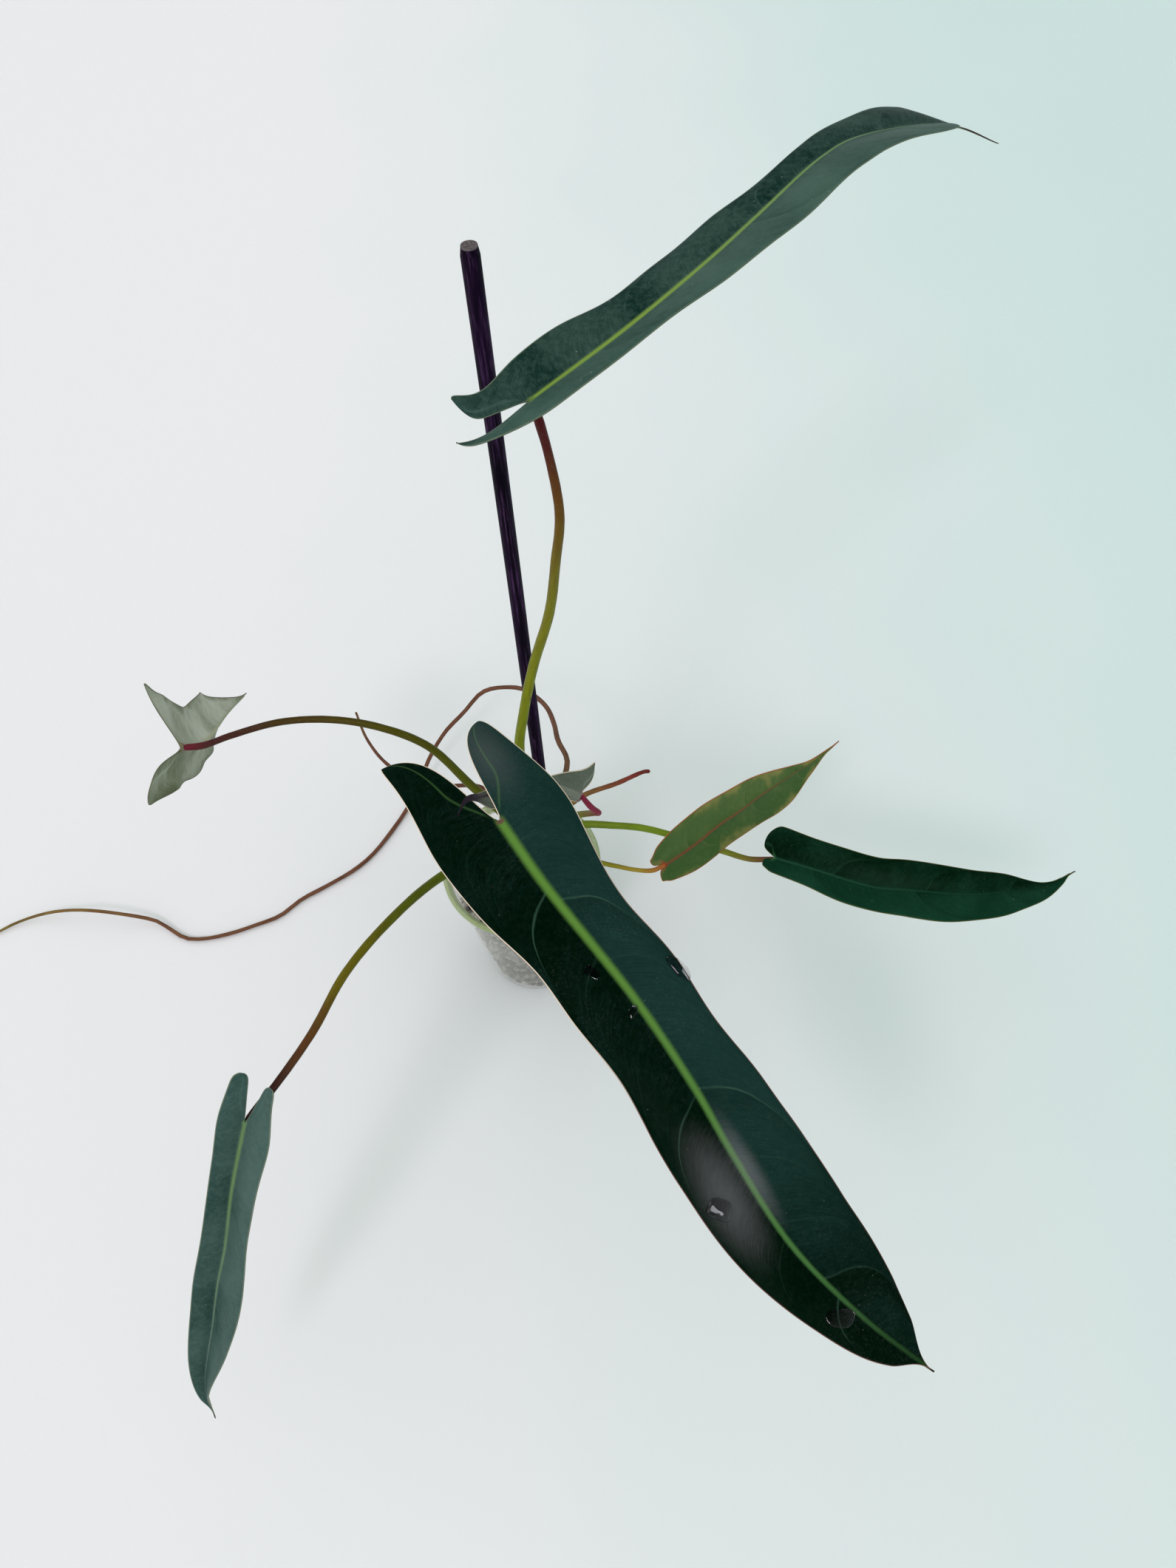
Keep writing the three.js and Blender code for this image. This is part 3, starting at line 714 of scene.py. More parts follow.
# What a petiole, stem or root looks like where its own look says nothing else
usualStalk = {
    "streak": 0.3, "streakColour": paint(70, 52, 24), "streakStretch": 0.12, "streakScale": 700,
    "softScale": 60, "softShift": 0.12,
    "spots": 0.8, "spotScale": 130, "spotSize": 0.28, "spotColour": paint(46, 20, 22),
    "dust": paint(190, 190, 150), "dustShare": 0.05, "shine": 0.1, "gloss": 0.32, "wornGloss": 0.2,
    "relief": 0.00035, "grainShare": 0.4,
}


def makeStalkMaterial(name, look):
    look = {**usualStalk, **look}
    material, tree, shader = newMaterial(name, Specular_IOR_Level=look["shine"])
    share = surfaceField(tree, "along")
    place = surfaceField(tree, "straight", "Vector")
    streak = noise(tree, stretched(tree, place, (look["streakStretch"], 1, 1)), look["streakScale"], 4)
    soft = noise(tree, place, look["softScale"], 3)
    shifted = plus(tree, share, times(tree, minus(tree, soft, 0.5), look["softShift"]))
    colour = colourRamp(tree, shifted, look["colours"])
    colour = mixColour(tree, ease(tree, streak, 0.35, 0.7, 0, look["streak"]), colour, look["streakColour"])
    wear = useGroup(tree, weathering, place=place, fleckScale=look["spotScale"], fleckSize=look["spotSize"])
    colour = mixColour(tree, times(tree, wear["fleck"], look["spots"]), colour, look["spotColour"])
    colour = mixColour(tree, times(tree, wear["dust"], look["dustShare"]), colour, look["dust"])
    feed(tree, shader.inputs["Base Color"], colour)
    rough = ease(tree, wear["grain"], 0.3, 0.7, look["gloss"], look["gloss"] + look["wornGloss"])
    feed(tree, shader.inputs["Roughness"], rough)
    height = plus(tree, streak, times(tree, wear["grain"], look["grainShare"]))
    feed(tree, shader.inputs["Normal"], bumpNormal(tree, height, look["relief"]))
    return material


def makeStem():
    def nodeRings(distance, length, angle):
        ring = abs(((distance - stem["ringStart"]) / stem["ringPitch"]) % 1 - 0.5) * 2
        swell = stem["ringSwell"] * smoothstep(*stem["swellBand"], ring)
        swell -= stem["ringPinch"] * smoothstep(*stem["pinchBand"], ring) * (ring < stem["pinchEnd"])
        bulge = stem["bulge"] * math.sin(3 * angle + distance * stem["bulgePace"])
        return 1 + swell + bulge + stem["wave"] * math.sin(distance * stem["wavePace"])
    piece = tubePiece("stem_body", stem["axis"], stem["radii"], sides=30, step=0.8, shape=nodeRings)
    look = {"colours": stem["colours"], "streak": 0.75, "streakColour": paint(92, 66, 38), "spots": 0.5,
            "gloss": 0.5, "relief": 0.0009}
    settle(piece, ["stem"], "stem", makeStalkMaterial("stemSkin", look))
    print("stem made")


# Leaves: the same named shapes as the solids, with veins, a midrib and a thin margin

olive, yellowGreen = paint(96, 108, 26), paint(118, 124, 24)
maroon = paint(78, 30, 34)
blade = {
    "columns": [0, 0.018, 0.04, 0.065, 0.095, 0.13, 0.18, 0.24, 0.31, 0.38, 0.45, 0.52, 0.59, 0.66, 0.73,
                0.79, 0.84, 0.88, 0.915, 0.945, 0.968, 0.986, 1],
    "lobeRows": 30, "rowStep": 1.4,
    "innerRoundness": 3.1, "outerRoundness": 2.6, "wavePitch": 56,
    "solidHalf": 0.45,
    "body": 0.75, "margin": 0.4, "ridge": 2.3, "crease": 1.8, "lobeTip": 1.2,
    "ribRelief": 0.25, "ribWide": (2.6, 0.9), "ridgeWide": (2.4, 1), "quilt": 0.05,
    "edgeRoll": 0.25, "rollFrom": 0.93, "marginWide": 5, "weld": 0.012,
    "cornerShare": 0.25, "cornerMost": 11, "dripBefore": 0.07, "dripAfter": 0.01,
    "basalLine": 0.3, "basalSpread": 0.75,
}

# What the two faces of every blade have in common
bladeSkin = {
    # The first share below paints one half of a blade paler: painted sheen, where light glances off that
    # half.
    "sheenHalfShare": 0.62, "patchScale": 60, "patchBand": (0.58, 0.88), "patchShare": 0.7,
    # Painted sheen patches: how far each one reaches and how ragged its edge is; their grey colour is on the
    # next line.
    "paintedSheenReach": 1.2, "paintedSheenRagged": 0.08, "heartBand": (0.8, 3), "heartShare": 0.8,
    "flecks": paint(170, 184, 172), "smudge": paint(150, 160, 156), "paintedSheen": paint(132, 134, 138),
    "fleckScale": 260, "fleckSize": 0.1, "smudgeShare": 0.05,
    "blotchGloss": 0.1, "dustGloss": 0.12, "grainShare": 0.07, "depth": 0.0005,
    # The first two numbers below set the painted shade beside the strong veins: how far it spreads and from
    # where along the blade it starts.
    "veinShadeWide": 0.3, "veinShadeFrom": 0.1, "rimBand": (0.5, 7), "rimLift": 0.2,
    "ribTurn": (0.1, 0.95), "ribFade": (0.7, 1), "ribLeft": 0.25,
    "edgeTurn": (0.25, 0.5), "edgeSooner": 0.22, "edgeScale": 180, "edgeDark": (0.6, 0.6, 0.6, 1),
}

# How the side veins run from the midrib, and how they look. Every third one is strong.
veins = {
    "lean": 0.45, "leanFull": 40, "sweep": 8, "sweepEnd": 1.2,
    "rightPitch": 1.086, "first": 0.45, "strongFirst": 1.5,
    "wobble": 0.1, "wobbleScale": 45, "fineScale": 260, "ragged": 0.5,
    "weak": 0.15, "strongBand": (0.332, 0.336),
    "gapScale": 24, "gapBand": (0.36, 0.5), "gapLeft": 0.4,
    "edgeBand": (1, 6), "startBand": (-0.01, 0.03), "endBand": (0.75, 1), "endLeft": 0.2,
    "ribCore": 0.1, "ribStart": -0.012,
    "basalBand": (-45, -2), "basalWide": (0.45, 0.95), "basalEdge": (0.5, 3),
    "pillowWide": 7, "pillowEdge": 8, "pillowHeight": 0.2, "ribHeight": 0.4, "veinDepth": 0.2,
    "silkScale": 1.1, "silkStretch": 0.12, "silkBand": (0.3, 0.7), "marginFrom": 0.55,
}


# The pattern of a blade: midrib, arching side veins, basal veins and margin, in mm on the surface.
def makeBladePattern():
    tree, given, made = shaderGroup(
        "bladePattern",
        {"Float": ("length", "pitch", "offset", "ribWidth", "ribTip", "veinWidth", "marginWidth")},
        ("rib", "vein", "basal", "margin", "height", "side", "veinShade", "silk"))
    share, side, edge, basal = (surfaceField(tree, label) for label in ("along", "side", "edge", "basal"))
    place = objectPlace(tree)
    wobble = minus(tree, noise(tree, place, veins["wobbleScale"], 2), 0.5)
    ragged = times(tree, minus(tree, noise(tree, place, veins["fineScale"], 2), 0.5), veins["ragged"])
    out = absolute(tree, side)
    left = calc(tree, "LESS_THAN", side, 0)
    distance = times(tree, share, given["length"])

    # Where the vein through each place leaves the midrib
    column = calc(tree, "DIVIDE", out, plus(tree, out, calc(tree, "MAXIMUM", edge, 0.01)))
    bend = calc(tree, "DIVIDE", calc(tree, "POWER", column, 3), minus(tree, veins["sweepEnd"], column))
    lean = times(tree, out, ease(tree, distance, 0, veins["leanFull"], 0, veins["lean"]))
    start = minus(tree, distance, plus(tree, times(tree, bend, veins["sweep"]), lean))
    wider = times(tree, minus(tree, 1, left), veins["rightPitch"] - 1)
    pitch = times(tree, given["pitch"], plus(tree, wider, 1))
    phase = plus(tree, calc(tree, "DIVIDE", start, pitch),
                 plus(tree, times(tree, left, given["offset"]), veins["first"]))
    phase = plus(tree, phase, times(tree, wobble, veins["wobble"]))
    # Which third of a run of three veins a place lies in: it picks the strong veins, and also places painted
    # shade just past them.
    third = calc(tree, "DIVIDE", minus(tree, minus(tree, phase, veins["strongFirst"]), left), 3)
    third = calc(tree, "FRACT", third)
    strong = absolute(tree, minus(tree, third, 0.5))
    swing = absolute(tree, minus(tree, calc(tree, "FRACT", phase), 0.5))
    gap = times(tree, swing, pitch)

    breaks = noise(tree, place, veins["gapScale"], 1)
    vein = ease(tree, gap, 0, plus(tree, given["veinWidth"], ragged), 1, 0)
    for mask in (ease(tree, edge, *veins["edgeBand"]),
                 ease(tree, share, *veins["startBand"]),
                 ease(tree, share, *veins["endBand"], 1, veins["endLeft"]),
                 ease(tree, strong, *veins["strongBand"], veins["weak"], 1),
                 ease(tree, breaks, *veins["gapBand"], veins["gapLeft"], 1)):
        vein = times(tree, vein, mask)
    ribHalf = plus(tree, ease(tree, share, 0, 1, given["ribWidth"], given["ribTip"]), ragged)
    rib = ease(tree, out, times(tree, ribHalf, veins["ribCore"]), ribHalf, 1, 0)
    rib = times(tree, rib, ease(tree, share, veins["ribStart"], 0))
    basalWide = ease(tree, distance, *veins["basalBand"], *veins["basalWide"])
    basalWide = times(tree, given["veinWidth"], basalWide)
    basalVein = ease(tree, absolute(tree, basal), 0, basalWide, 1, 0)
    basalVein = times(tree, basalVein, ease(tree, edge, *veins["basalEdge"]))
    pillow = times(tree, ease(tree, gap, 0, veins["pillowWide"]), ease(tree, edge, 0, veins["pillowEdge"]))
    height = times(tree, pillow, veins["pillowHeight"])
    height = plus(tree, height, times(tree, rib, veins["ribHeight"]))

    # Silk: fine streaks that run with the veins
    weave = tree.nodes.new("ShaderNodeCombineXYZ")
    feed(tree, weave.inputs[0], start)
    feed(tree, weave.inputs[1], times(tree, out, veins["silkStretch"]))
    feed(tree, weave.inputs[2], times(tree, left, 9))
    silk = noise(tree, weave.outputs[0], veins["silkScale"], 4, 0.6)
    marginStart = times(tree, given["marginWidth"], veins["marginFrom"])
    results = {
        "rib": rib, "vein": vein, "basal": basalVein, "veinShade": third,
        "margin": ease(tree, edge, marginStart, given["marginWidth"], 1, 0),
        "height": minus(tree, height, times(tree, vein, veins["veinDepth"])),
        "side": ease(tree, side, -3, 3),
        "silk": ease(tree, silk, *veins["silkBand"], -1, 1),
    }
    for label, value in results.items():
        feed(tree, made[label], value)
    return tree


bladePattern = makeBladePattern()
print("shader groups made")

leaves = {
    "front": {
        "midrib": [(7, -94, 322), (23, -122, 314), (58, -174, 296), (78, -208, 280), (90, -232, 268),
                   (111, -266, 243), (140, -294, 217), (168, -314, 196)],
        "faces": (0, -0.05, 1),
        "right": {"widths": [35, 31.4, 27.3, 28, 26, 27, 26, 22.9, 18.4, 12.5, 0],
                  "lifts": [-5, 8, 8, 9, 9], "length": 51, "spread": 31, "outer": -2, "inner": -10.5,
                  "tip": 0.6},
        "left": {"widths": [35, 28.8, 24, 25, 23.5, 27.3, 29.9, 30.4, 26.9, 17.4, 0],
                 "lifts": [-5, 5, 8, 11, 3], "length": 47, "spread": 18, "outer": 1.5, "inner": -7,
                 "tip": 0.6},
        "arch": 1.6, "wave": 0.7, "pitch": 32.5, "offset": 0.71,
        "petiole": {"height": 175, "compass": -92,
                    "route": [(13, -34, 203), (11, -64, 246), (8, -86, 292)],
                    "radii": [3.1, 2.6, 2.3, 2.1],
                    "colours": [(0, olive), (0.6, yellowGreen), (0.85, olive), (1, maroon)]},
        # On this upper face the left half is painted towards the bluish pale colour as painted sheen, fading
        # out towards the tip.
        "upper": {"deep": paint(0, 17, 6), "pale": paint(27, 57, 53), "half": -1,
                  "rib": paint(90, 134, 56), "ribTip": paint(64, 108, 60), "vein": paint(62, 94, 78),
                  "veins": 0.5, "veinWidth": 1.0, "silk": 0.1, "basal": 0.32,
                  "basalColour": paint(80, 120, 66), "edge": paint(230, 216, 194),
                  "edgeTip": paint(112, 82, 74),
                  # Painted sheen patches: beside the big drop, along the midrib, and on a basal lobe.
                  "paintedSheen": [(0.6, 12, 32, 13, 0.29), (0.59, -2.5, 28, 5.5, 0.32),
                            (-0.1, -12, 26, 13, 0.14)], "shine": 0.01,
                  "sheenFade": (0.5, 0.84, -0.56), "heart": paint(100, 52, 62), "ribWidth": 3.3,
                  "ribTipWidth": 1.6, "flecks": 0.15, "gloss": 0.34, "blotches": 0.12, "mottle": 0.03,
                  "marginWidth": 0.45, "tip": paint(70, 52, 52), "tipFrom": (0.985, 0.997)},
    },
    "high": {
        "midrib": [(41, 17, 457), (81, 47, 462), (121, 84, 465), (143, 106, 467), (180, 145, 469),
                   (200, 162, 467), (254, 193, 451), (285, 204, 433)],
        "faces": (-0.1, 0.15, 1),
        "right": {"widths": [16.5, 15, 16, 20, 22, 23, 23.2, 23.4, 21.2, 12, 0],
                  "lifts": [8, 11, 4, 6, 20], "length": 35, "spread": -6, "outer": 5.4, "inner": 5.2,
                  "drip": (0.9, 1.3)},
        "left": {"widths": [18.5, 19.8, 18, 20, 19, 15, 14, 17, 21.4, 20.4, 0],
                 "lifts": [48, 7, 6, 14, 0], "length": 27, "spread": 19, "outer": -3.6, "inner": -6.4,
                 "drip": (0.9, 1.3), "tip": 7},
        "arch": 1.2, "wave": 0.4, "pitch": 30, "offset": 0.22,
        "petiole": {"height": 181, "compass": 100,
                    "route": [(10, 19, 212), (16, 21, 247), (25, 21, 286), (37, 15, 333), (43, 8, 375),
                              (47, 6, 406), (45, 11, 434)],
                    "radii": [3.1, 2.7, 2.5, 2.2, 1.7],
                    "colours": [(0, paint(112, 130, 20)), (0.35, paint(124, 134, 8)),
                                (0.66, paint(116, 112, 14)), (0.84, paint(98, 64, 16)),
                                (0.93, paint(74, 22, 24)), (1, paint(84, 6, 26))]},
        "upper": {"deep": paint(6, 40, 34), "pale": paint(68, 96, 86), "half": 1,
                  "rib": paint(122, 154, 64), "ribTip": paint(98, 128, 100), "vein": paint(76, 104, 94),
                  "veins": 0.3, "basal": 0.35, "edge": paint(96, 112, 92), "heart": paint(92, 122, 60),
                  "ribWidth": 2.3, "ribTipWidth": 0.6, "flecks": 0.7, "gloss": 0.36, "mottle": 0.24,
                  "silk": 0.13, "tip": paint(52, 26, 40), "tipFrom": (0.88, 0.93)},
    },
    "left": {
        "midrib": [(-157, -6, 284), (-158, 13, 260), (-163, 46, 229), (-169, 86, 194), (-170, 126, 161)],
        "faces": (-1, 0, 0),
        "right": {"widths": [29, 25, 22, 21, 21, 21, 20, 14, 8, 3, 0], "lifts": [11, 23, 23, 42, 45],
                  "length": 24, "spread": 34, "outer": -2, "inner": -5},
        "left": {"widths": [20, 19, 20, 20, 19, 19, 19, 19, 18, 12, 0], "lifts": [14, 25, 23, 46, 60],
                 "length": 44, "spread": 22, "outer": 3, "inner": -8},
        "arch": 1.2, "wave": 1, "pitch": 20, "offset": 0.22,
        "petiole": {"height": 172, "compass": 178,
                    "route": [(-16, -2, 211), (-37, 5, 248), (-60, 7, 267), (-83, 6, 279), (-107, 3, 285),
                              (-131, -3, 286), (-146, -6, 284)],
                    "radii": [3.1, 2.5, 2.1, 1.8, 1.6],
                    "colours": [(0, paint(84, 98, 8)), (0.45, paint(74, 76, 4)), (0.62, paint(74, 66, 8)),
                                (0.8, paint(62, 42, 12)), (0.93, paint(62, 24, 28)),
                                (1, paint(110, 22, 48))]},
        "upper": {"deep": paint(14, 46, 38), "pale": paint(40, 76, 66), "half": 0.5,
                  "rib": paint(96, 132, 70), "ribTip": paint(66, 104, 84), "vein": paint(60, 98, 80),
                  "veins": 0.25, "basal": 0.5, "edge": paint(120, 120, 92), "heart": paint(110, 30, 50),
                  "ribWidth": 2.2, "ribTipWidth": 0.5, "flecks": 0.3, "gloss": 0.34},
    },
    "low": {
        "midrib": [(-127, -186, 232), (-142, -206, 198), (-155, -224, 163), (-165, -236, 140),
                   (-174, -249, 116), (-189, -275, 75), (-188, -287, 59)],
        "faces": (-0.3, -0.55, 0.62),
        "right": {"widths": [14.5, 13, 12.5, 13, 13.5, 13.5, 13, 12.5, 10.5, 6.3, 0],
                  "lifts": [45, 46, 45, 43, 42], "length": 30, "spread": 7, "outer": 2, "inner": -2},
        "left": {"widths": [20.5, 19.5, 18.5, 17.5, 18.5, 20.5, 21.5, 19.5, 14.5, 8.3, 0],
                 "lifts": [23, 25, 23, 39, 55], "length": 31, "spread": 14, "outer": 0, "inner": -2},
        "arch": 1, "wave": 0.4, "pitch": 26, "offset": 0.22,
        "petiole": {"height": 167, "compass": -138,
                    "route": [(-36.5, -53.5, 208.5), (-61.5, -87.5, 227.5), (-81, -120, 239),
                              (-95, -149, 241), (-110, -169, 238)],
                    "radii": [3.1, 2.6, 2.2, 2.0, 1.7],
                    "colours": [(0, paint(88, 112, 8)), (0.4, paint(82, 96, 4)),
                                (0.66, paint(104, 98, 12)), (0.82, paint(86, 50, 18)),
                                (0.94, paint(40, 12, 16)), (1, paint(34, 8, 14))]},
        "upper": {"deep": paint(40, 68, 62), "pale": paint(72, 98, 92), "half": -0.6,
                  "rib": paint(104, 136, 88), "ribTip": paint(92, 116, 108), "vein": paint(84, 112, 104),
                  "veins": 0.25, "basal": 0.35, "edge": paint(110, 124, 104),
                  "heart": paint(100, 134, 92), "ribWidth": 2.7, "ribTipWidth": 0.8, "flecks": 0.35,
                  "gloss": 0.36, "mottle": 0.26, "silk": 0.14, "blotches": 0.5, "tip": paint(64, 40, 50),
                  "tipFrom": (0.965, 0.99)},
    },
    "old": {
        "midrib": [(86, -36, 164), (104, -25, 164), (121, -12, 162), (137, 0, 157), (149, 10, 153),
                   (172, 28, 144), (191, 42, 137), (212, 59, 131)],
        "faces": (-0.35, 0.75, -0.55),
        "right": {"widths": [12, 16, 17, 16, 15, 13, 9.5, 5.5, 2.2, 1, 0], "lifts": [4, 4, 4, 4, 4],
                  "length": 7, "spread": 6, "outer": 0, "inner": -2},
        "left": {"widths": [13, 17, 18, 17.5, 17.5, 19, 19.5, 16.5, 8.5, 2, 0], "lifts": [3, 4, 3, 2, 4],
                 "length": 5, "spread": 9, "outer": 0, "inner": -3},
        "arch": 1, "wave": 0.4, "pitch": 15, "offset": 0.22,
        "petiole": {"height": 151, "compass": -30,
                    "route": [(36, -20, 158), (49, -27, 158), (59, -32, 160), (70, -38, 164),
                              (79, -41, 167)], "radii": [2.4, 1.6, 1.3, 1.2],
                    "colours": [(0, olive), (0.5, yellowGreen), (0.8, paint(160, 140, 50)),
                                (1, paint(180, 86, 50))]},
        "upper": {"deep": paint(40, 74, 40), "pale": paint(84, 106, 52), "half": 0.5,
                  "rib": paint(150, 120, 60), "ribTip": paint(120, 120, 60), "vein": paint(104, 124, 66),
                  "veins": 0.3, "basal": 0.4, "edge": paint(190, 110, 60), "heart": paint(160, 80, 60),
                  "ribWidth": 1.2, "ribTipWidth": 0.4, "flecks": 0.4, "gloss": 0.45},
    },
    "right": {
        "midrib": [(151, -36, 157), (169, -44, 156), (206, -57, 148), (225, -59, 144), (267, -60, 131),
                   (289, -57, 124), (313, -53, 115), (341, -40, 107)],
        "faces": (0, -0.2, 1),
        "right": {"widths": [10, 12, 15, 16, 18, 19, 17, 15, 10, 5, 0], "lifts": [12] * 5, "length": 6,
                  "spread": 5, "outer": 1, "inner": -2},
        "left": {"widths": [20, 18, 18, 18, 18, 17, 15, 12, 7, 1.5, 0], "lifts": [12] * 5, "length": 8,
                 "spread": 8, "outer": 4, "inner": -2},
        "arch": 1.2, "wave": 0.4, "pitch": 19, "offset": 0.22,
        "petiole": {"height": 159, "compass": 12,
                    "route": [(42, 2, 155), (58, 3, 149), (77, 3, 142), (93, -3, 141), (123, -20, 144),
                              (138, -31, 150)], "radii": [2.8, 2.2, 2.1, 1.9, 1.4],
                    "colours": [(0, olive), (0.5, paint(128, 158, 40)), (0.8, paint(124, 134, 44)),
                                (1, paint(110, 60, 50))]},
        "upper": {"deep": paint(0, 24, 8), "pale": paint(16, 58, 40), "half": 1, "rib": paint(28, 66, 46),
                  "ribTip": paint(12, 48, 30), "vein": paint(30, 68, 46), "veins": 0.25, "basal": 0.4,
                  "edge": paint(84, 86, 44), "heart": paint(40, 84, 50), "ribWidth": 1.3,
                  "ribTipWidth": 0.5, "flecks": 0.3, "gloss": 0.34, "shine": 0.02},
    },
    "young": {
        "midrib": [(42, -44, 259), (32, -51, 279), (21, -61, 298), (10, -71, 312), (2.5, -77.5, 320),
                   (-2, -82, 326), (-4.5, -86.5, 332), (-7, -91, 336), (-10, -98, 337)],
        "faces": (-0.9, 0.3, -0.3),
        "right": {"widths": [6, 8, 10, 10, 9.5, 9, 8.5, 7.5, 2.5, 0.8, 0], "lifts": [62, 42, 24, 15, 10],
                  "length": 6, "spread": 5, "outer": 0, "inner": -1},
        "left": {"widths": [13, 11, 9, 8, 7, 6, 5, 3.5, 2, 2, 0], "lifts": [2, 50, 50, 35, 15],
                 "length": 17, "spread": 20, "outer": 0, "inner": -5},
        "arch": 0.6, "wave": 0.2, "pitch": 12, "offset": 0.22,
        "petiole": {"height": 178, "compass": -30,
                    "route": [(32, -16, 194), (42, -26, 212), (49, -36, 228), (51, -44, 241),
                              (47, -46, 251)], "radii": [2.8, 2.2, 1.8, 1.5, 1.3],
                    "colours": [(0, olive), (0.45, paint(120, 126, 46)), (0.62, paint(124, 92, 54)),
                                (0.76, paint(132, 24, 52)), (1, paint(138, 32, 66))]},
        "upper": {"deep": paint(40, 66, 54), "pale": paint(84, 104, 88), "half": 0.5,
                  "rib": paint(90, 60, 76), "ribTip": paint(70, 30, 56), "vein": paint(96, 110, 96),
                  "veins": 0.3, "basal": 0.4, "edge": paint(214, 200, 176), "heart": paint(140, 40, 80),
                  "ribWidth": 1.1, "ribTipWidth": 0.5, "flecks": 0.1, "gloss": 0.34,
                  "tip": paint(44, 34, 46), "tipFrom": (0.7, 0.84)},
    },
}

underLooks = {
    "usual": {"deep": paint(104, 114, 84), "pale": paint(190, 194, 180), "half": 0.6,
              "rib": paint(176, 176, 146), "ribTip": paint(150, 158, 130), "vein": paint(186, 192, 172),
              "veins": 0.5, "basal": 0.5, "edge": paint(90, 92, 60), "heart": paint(112, 24, 50),
              "silk": 0.13, "veinShade": 0.15, "blotches": 0.62, "patch": paint(78, 86, 46), "ribWidth": 1.8,
              "ribTipWidth": 0.5, "flecks": 0.1, "gloss": 0.5},
    "old": {"deep": paint(58, 90, 44), "pale": paint(90, 112, 64), "half": 0.5, "rib": paint(116, 74, 48),
            "ribTip": paint(90, 92, 50), "vein": paint(112, 122, 80), "veins": 0.25, "basal": 0.4,
            "edge": paint(150, 96, 52), "heart": paint(150, 62, 48), "ribWidth": 0.9, "ribTipWidth": 0.4,
            "flecks": 0.4, "gloss": 0.45, "patch": paint(144, 138, 78)},
    "young": {"deep": paint(84, 94, 80), "pale": paint(122, 126, 116), "half": 0.5,
              "rib": paint(124, 128, 116), "ribTip": paint(70, 44, 62), "vein": paint(150, 158, 146),
              "veins": 0.45, "basal": 0.5, "edge": paint(214, 200, 176), "heart": paint(170, 40, 96),
              "ribWidth": 0.9, "ribTipWidth": 0.6, "flecks": 0.1, "gloss": 0.4, "tip": paint(44, 34, 46),
              "tipFrom": (0.7, 0.84)},
}

# What either face of a blade looks like where its own look says nothing else
usualBlade = {
    "shine": 0.05, "veinWidth": 1.2, "marginWidth": 0.5, "blotches": 0.38, "mottle": 0.1, "silk": 0.14,
    "veinShade": 0.2, "paintedSheen": [],
}


# The margin's colour, which turns from the base to the tip, and sooner on the left half.
def marginColour(tree, look):
    left = calc(tree, "LESS_THAN", surfaceField(tree, "side"), 0)
    share = plus(tree, surfaceField(tree, "along"), times(tree, left, bladeSkin["edgeSooner"]))
    turned = ease(tree, share, *bladeSkin["edgeTurn"])
    return mixColour(tree, turned, look["edge"], look.get("edgeTip", look["edge"]))


